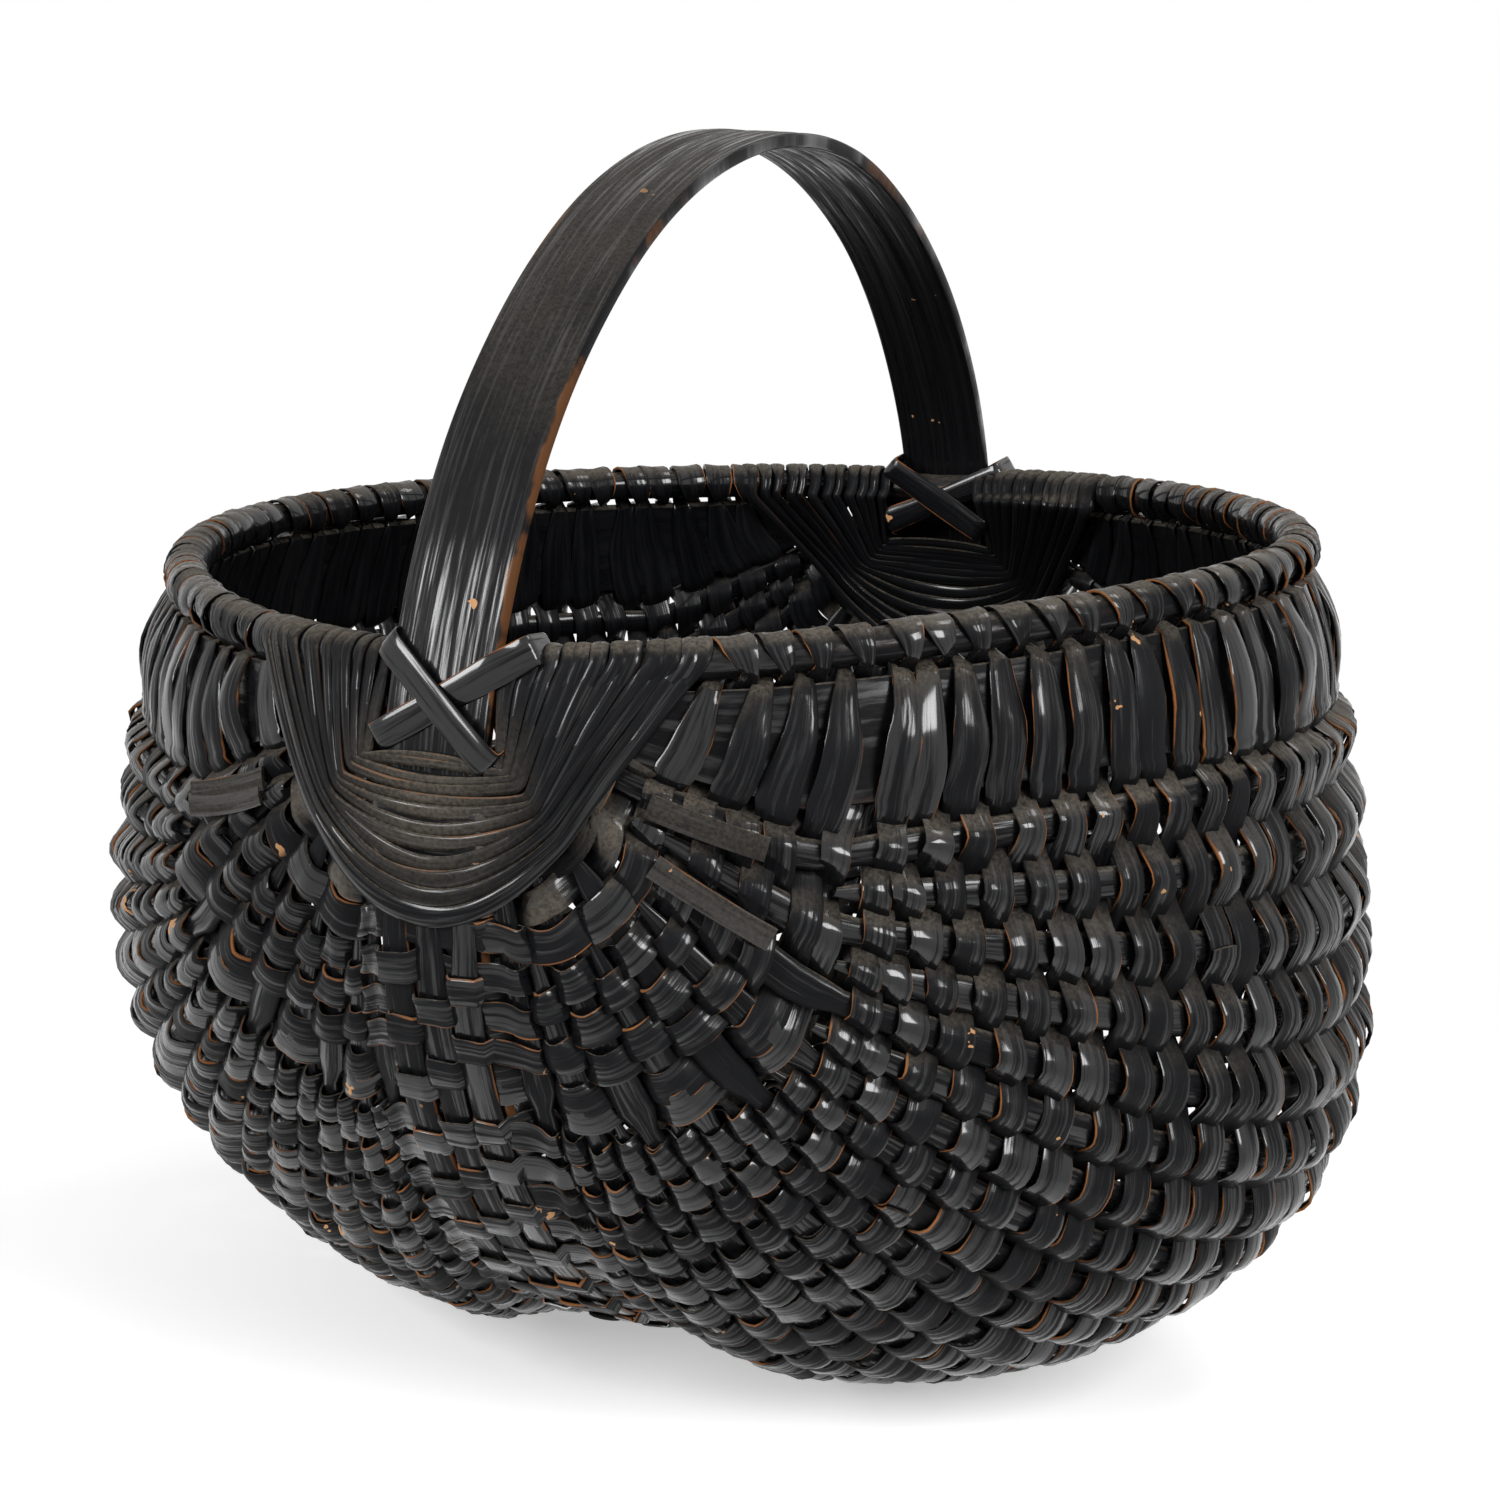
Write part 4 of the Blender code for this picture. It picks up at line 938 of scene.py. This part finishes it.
def smoothed(points):
    """A closed line of points averaged with its neighbours, so that its corners turn in a few steps."""
    kernel = np.hanning(ROUNDING + 2)[1:-1]
    kernel = kernel / kernel.sum()
    wide = np.pad(points, ((ROUNDING // 2, ROUNDING // 2), (0, 0)), mode="wrap")
    return np.stack([np.convolve(column, kernel, "valid") for column in wide.T], axis=-1)


def resampled(points, count):
    """The same closed line as an even count of places."""
    run = run_along(points)
    even = np.linspace(0, run[-1], count + 1)[:-1]
    return np.stack([np.interp(even, run, column) for column in points.T], axis=-1)


def ear_face(side, turn_x, mitre, crossing_z):
    """Half of a turn seen in elevation, from the rim to the middle of the hoop: straight down to the
    mitre, and on as a parabola with its foot on the hoop's middle line."""
    t = np.linspace(0, 1, FACE_STEPS)
    rim_z = wall_point(side, 1, math.acos(turn_x / (RIM_WIDTH / 2)))[2]
    x, z = part_way(turn_x, mitre[0], t), part_way(rim_z, mitre[1], t)
    cross_x = mitre[0] * (1 - t[1:])
    cross_z = part_way(crossing_z, mitre[1], (cross_x / mitre[0]) ** 2)
    return side * np.concatenate([x, cross_x]), np.concatenate([z, cross_z])


def ear_loop(share, jitter):
    """One turn of an ear lashing as a closed line: outside, over the rod, inside, and over the rod."""
    turn_x = part_way(FIRST_TURN_X, LAST_TURN_X, share) + jitter[0]
    mitre = part_way(np.array(FIRST_MITRE), np.array(LAST_MITRE), share) + jitter[1:3]
    crossing = part_way(FIRST_CROSSING_Z, LAST_CROSSING_Z, share * (1 + share) / 2) + jitter[3]
    right, left = (ear_face(side, turn_x, mitre, crossing) for side in (1, -1))
    x, z = (np.concatenate([a, b[::-1][1:]]) for a, b in zip(right, left))
    bulge = EAR_LIFT + EAR_BULGE * np.clip((BULGE_Z - z) / BULGE_EASE, 0, 1)
    outside = np.stack([x, ear_y(x, z) + bulge, z], axis=-1)
    inside = np.stack([x, ear_y(x, z) - ear_depth(z) - EAR_LIFT, z], axis=-1)[::-1]
    turn = math.acos(turn_x / (RIM_WIDTH / 2))
    over_left = rim_wrap(-1, turn, turn, OVER_ROD, EAR_LIFT)[0]
    over_right = rim_wrap(1, turn, turn, OVER_ROD[::-1], EAR_LIFT)[0]
    loop = np.concatenate([outside[2:-2], over_left, inside[2:-2], over_right, outside[2:3]])
    return smoothed(resampled(loop, EAR_SAMPLES))


def ear_turn(ear, number):
    """One turn of an ear lashing: it lies like a shingle on the turn inside it, as steep as their
    spacing makes it."""
    rng = np.random.default_rng(800 + 20 * number + ear)
    step = 1 / (LASHING_TURNS - 1)
    share = number * step
    still = np.zeros(4)
    spacing = np.linalg.norm(ear_loop(share + step / 2, still) - ear_loop(share - step / 2, still), axis=-1)
    loop = ear_loop(share, rng.normal(0, LASHING_JITTER, 4))
    x, y, z = loop.T
    middle_y = ear_y(x, z) - ear_depth(z) / 2
    rod_turn = math.acos(FIRST_TURN_X * 2 / (RIM_WIDTH / 2))
    rod_z = np.interp(np.sign(x), (-1, 1), [wall_point(side, 1, rod_turn)[2] for side in (-1, 1)])
    above = np.clip((z - rod_z) / RIM_ROD * 2, 0, 1)
    normals = unit(np.stack([0 * x, np.clip((y - middle_y) / RIM_ROD * 2, -1, 1), 1.2 * above], axis=-1))
    across = unit(np.cross(directions(loop, True), normals))
    run = run_along(loop)
    steep = np.minimum(STEEPEST_SHINGLE, SHINGLE_STEP / np.maximum(spacing, LEAST_SPACING))
    twist = -np.arcsin(steep) + wander(840 + number + ear, run, *LASHING_TWIST)
    half = np.clip(LASHING_FILL * smoothed(spacing[:, None])[:, 0], *LASHING_HALVES)
    half = half * (1 + wander(801 + number + ear, run, *LASHING_SWELL))
    mirror = np.array([1, ear, 1])
    dusty = np.clip(1.25 - np.hypot(x, z - DUSTY_Z) / DUSTY_REACH, 0, 1) * (y > middle_y)
    return splint_part(
        loop * mirror, across * mirror, normals * mirror, half, rng.uniform(0.2, 1.0), dusty, twist,
        closed=True, thickness=LASHING_THICKNESS, cup=LASHING_CUP,
    )


def short_rows(ear):
    """The first rows of the weave beside an ear, which start under its lashing and leave the rim bare."""
    pitch = ROW_TURNS[-1] - ROW_TURNS[-2]
    parts = []
    for number in range(SHORT_ROWS):
        turn = ear * (ROW_TURNS[-1] + pitch * (number + 1))
        sign = 1 if number % 2 == (1 if ear > 0 else 0) else -1
        line = row(turn, sign, 300 + 10 * number + ear)
        points, along, normals, stand, spread, tilt = (column[SAMPLES:-SAMPLES] for column in line)
        run = run_along(points)
        half = SPLINT_HALF * spread * (1 + wander(720 + number, run, *SHORT_ROW_SWELL))
        twist = tilt + wander(740 + number, run, *SHORT_ROW_TWIST)
        parts.append(splint_part(points, along, normals, half, 0.3 + 0.1 * number, stand, twist))
    return parts


def loose_end(ear, side, number):
    """A cut end of a splint that comes out from under a lashing and bends off the wall as t squared."""
    rng = np.random.default_rng(950 + 10 * number + 2 * ear + side)
    t = np.linspace(0, 1, LOOSE_STATIONS)
    turn = ear * np.radians(rng.uniform(*LOOSE_TURNS) - LOOSE_SPAN * t)
    share = rng.uniform(*LOOSE_SHARES) + rng.uniform(*LOOSE_DRIFT) * t
    point, _, up, out = wall_frame(side, share, turn)
    point = point + out * part_way(*LOOSE_LIFT, t**2)[:, None]
    return splint_part(point, up, out, SPLINT_HALF, rng.uniform(), 0.4, 0.2 * t)


def ear_lashings(finish):
    """Both lashings, with the short rows that they cover and the loose ends under them."""
    for name, ear in EARS.items():
        parts = [ear_turn(ear, number) for number in range(LASHING_TURNS)] + short_rows(ear)
        parts += [loose_end(ear, side, number) for side in SIDES.values() for number in range(LOOSE_ENDS)]
        piece = loft(f"{name}_ear_lashing_turns", parts, finish)
        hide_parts(f"{name}_ear_lashing")


ear_lashings(painted_oak(
    "lashing_oak", grain=0.7, gloss=0.16, rubbing=0.8, dust=0.95, relief=0.45, film=0.75,
))

# Ear straps. Two glossy splints of oak tie hoop and rim together at each ear, crossed over the hoop's
# outer face and again over the rim rod inside.

STRAP_HALF, STRAP_CUP, STRAP_THICKNESS = 0.0038, 0.06, 0.0007
STRAP_STEPS, STRAP_SAMPLES = 24, 110
STRAP_OUTSIDE = {
    "under": ((0.0230, 0.0078), (-0.0165, -0.0165)),
    "over": ((-0.0155, 0.0068), (0.0165, -0.0195)),
}
STRAP_INSIDE_Z = (-0.0110, 0.0075)
STRAP_GAP, STRAP_FOLD, STRAP_SINK = 0.0004, 0.004, 0.0018
STRAP_SWELL = (0.05, 0.08)


def ear_strap(ear, place, layer):
    """One strap as a closed band: down across the hoop's face, in past its edge, and up across the rod."""
    lift = SEAT + SPLINT_THICKNESS / 2 + STRAP_GAP + layer * (SPLINT_THICKNESS + SEAT)
    start, end = (np.array(corner) for corner in STRAP_OUTSIDE[place])
    t = np.linspace(0, 1, STRAP_STEPS)
    x, z = (part_way(start[axis], end[axis], t) for axis in (0, 1))
    point, normal = hoop_place(hoop_angle_at(z))
    outside = point + normal * (HANDLE_THICKNESS / 2 + lift)
    outside[:, 0] += x
    outside[:, 1] -= np.clip((np.abs(x) - HANDLE_WIDTH / 2) / STRAP_FOLD, 0, 1) * STRAP_SINK
    rod_y = np.full(STRAP_STEPS, RIM_HALF_LENGTH - RIM_ROD / 2 - lift)
    inside = np.stack([part_way(end[0], start[0], t), rod_y, part_way(*STRAP_INSIDE_Z, t)], axis=-1)
    loop = smoothed(resampled(np.concatenate([outside, inside, outside[:1]]), STRAP_SAMPLES))
    slope = unit(np.array([end[0] - start[0], 0, end[1] - start[1]]))
    across = np.broadcast_to(np.cross(slope, (0, 1, 0)), loop.shape)
    normals = unit(np.cross(across, directions(loop, True)))
    normals = normals * np.sign(np.sum(normals * (loop - loop.mean(axis=0))))
    mirror = np.array([1, ear, 1])
    half = STRAP_HALF * (1 + wander(900 + layer, run_along(loop), *STRAP_SWELL))
    return splint_part(
        loop * mirror, across * mirror, normals * mirror, half, 0.2 * layer, 0.8,
        closed=True, thickness=STRAP_THICKNESS, cup=STRAP_CUP,
    )


def ear_straps(finish):
    """The two straps at each ear."""
    for name, ear in EARS.items():
        for layer, place in enumerate(STRAP_OUTSIDE):
            piece = loft(f"{name}_ear_strap_{place}_band", [ear_strap(ear, place, layer)], finish)
            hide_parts(f"{name}_ear_strap_{place}")


ear_straps(painted_oak("strap_oak", grain=1.0, gloss=0.11, rubbing=0.8, dust=0.2, relief=0.3))

# Stage. A pale floor under a white backdrop, two soft lights in front and one behind, and the camera
# where the photograph was taken from.

WHITE = (1, 1, 1, 1)
FLOOR_HALF, FLOOR_FADE = 1.6, (0.17, 0.42)
FLOOR_COLOUR, FLOOR_ROUGHNESS, FLOOR_GLOW = (0.9, 0.9, 0.9, 1), 0.9, 0.42
ROOM_LIGHT = 0.30
LIT_PLACE = (0, 0, 0.15)
SOFTBOXES = {
    "key_left": ((-0.85, -1.6, 1.0), (0.6, 0.9), 28),
    "fill_right": ((1.5, -0.7, 1.1), (0.6, 0.9), 27),
    "top_back": ((0.7, 0.6, 1.8), (0.6, 0.5), 7),
}
CAMERA_AZIMUTH, CAMERA_ELEVATION, CAMERA_ROLL = (math.radians(angle) for angle in (24.33, 13.43, 0.88))
CAMERA_PLACE = (0.4062, -0.8851, 0.1793)
CAMERA_LENS, CAMERA_SENSOR = 84.28, 36


def floor():
    """A plain pale floor that fades into the white behind it."""
    mesh = bpy.data.meshes.new("floor")
    corners = [(x * FLOOR_HALF, y * FLOOR_HALF, 0) for x, y in ((-1, -1), (1, -1), (1, 1), (-1, 1))]
    mesh.from_pydata(corners, [], [(0, 1, 2, 3)])
    material = bpy.data.materials.new("floor_white")
    material.use_nodes = True
    tree = material.node_tree
    shader = tree.nodes["Principled BSDF"]
    plain = {
        "Base Color": FLOOR_COLOUR, "Roughness": FLOOR_ROUGHNESS, "Specular IOR Level": 0,
        "Emission Color": WHITE, "Emission Strength": FLOOR_GLOW,
    }
    for label, value in plain.items():
        shader.inputs[label].default_value = value
    place = add(tree, "TexCoord").outputs["Object"]
    away = add(tree, "VectorMath", {0: place}, operation="LENGTH").outputs["Value"]
    tree.links.new(between(tree, away, *FLOOR_FADE, 1.0, 0.0), shader.inputs["Alpha"])
    mesh.materials.append(material)
    piece = bpy.data.objects.new("floor", mesh)
    bpy.context.scene.collection.objects.link(piece)


def backdrop():
    """White wherever the camera, a reflection or a ray through glass meets it, and a dimmer light on all
    else."""
    world = bpy.data.worlds.new("studio")
    bpy.context.scene.world = world
    world.use_nodes = True
    tree = world.node_tree
    tree.nodes.clear()
    path = add(tree, "LightPath").outputs
    seen = path["Is Camera Ray"]
    for ray in ("Is Transmission Ray", "Is Glossy Ray"):
        seen = add(tree, "Math", {0: seen, 1: path[ray]}, use_clamp=True).outputs[0]
    mix = add(tree, "MixShader", {0: seen})
    for number, strength in enumerate((ROOM_LIGHT, 1.0)):
        glow = add(tree, "Background", {"Color": WHITE, "Strength": strength})
        tree.links.new(glow.outputs[0], mix.inputs[number + 1])
    add(tree, "OutputWorld", {"Surface": mix.outputs[0]})


def softbox(name, place, size, power):
    """A rectangular soft light that looks at the middle of the basket."""
    light = bpy.data.lights.new(name, "AREA")
    light.shape, light.size, light.size_y, light.energy = "RECTANGLE", *size, power
    lamp = bpy.data.objects.new(name, light)
    lamp.location = place
    lamp.rotation_euler = (Vector(LIT_PLACE) - Vector(place)).to_track_quat("-Z", "Y").to_euler()
    bpy.context.scene.collection.objects.link(lamp)


def camera():
    """The photograph's camera: its place is given from the middle of the rim."""
    data = bpy.data.cameras.new("camera")
    data.lens, data.sensor_width, data.sensor_fit = CAMERA_LENS, CAMERA_SENSOR, "AUTO"
    cam = bpy.data.objects.new("camera", data)
    a, e, r = CAMERA_AZIMUTH, CAMERA_ELEVATION, CAMERA_ROLL
    back = np.array([math.sin(a) * math.cos(e), -math.cos(a) * math.cos(e), math.sin(e)])
    level = np.array([math.cos(a), math.sin(a), 0])
    rise = np.cross(back, level)
    right = math.cos(r) * level + math.sin(r) * rise
    up = -math.sin(r) * level + math.cos(r) * rise
    lines = np.stack([right, up, back, np.array(CAMERA_PLACE) + ORIGIN], axis=-1)
    cam.matrix_world = Matrix(lines.tolist() + [[0, 0, 0, 1]])
    bpy.context.scene.collection.objects.link(cam)
    bpy.context.scene.camera = cam


floor()
backdrop()
for name, (place, size, power) in SOFTBOXES.items():
    softbox(name, place, size, power)
camera()
bpy.context.scene.view_settings.view_transform = "Standard"
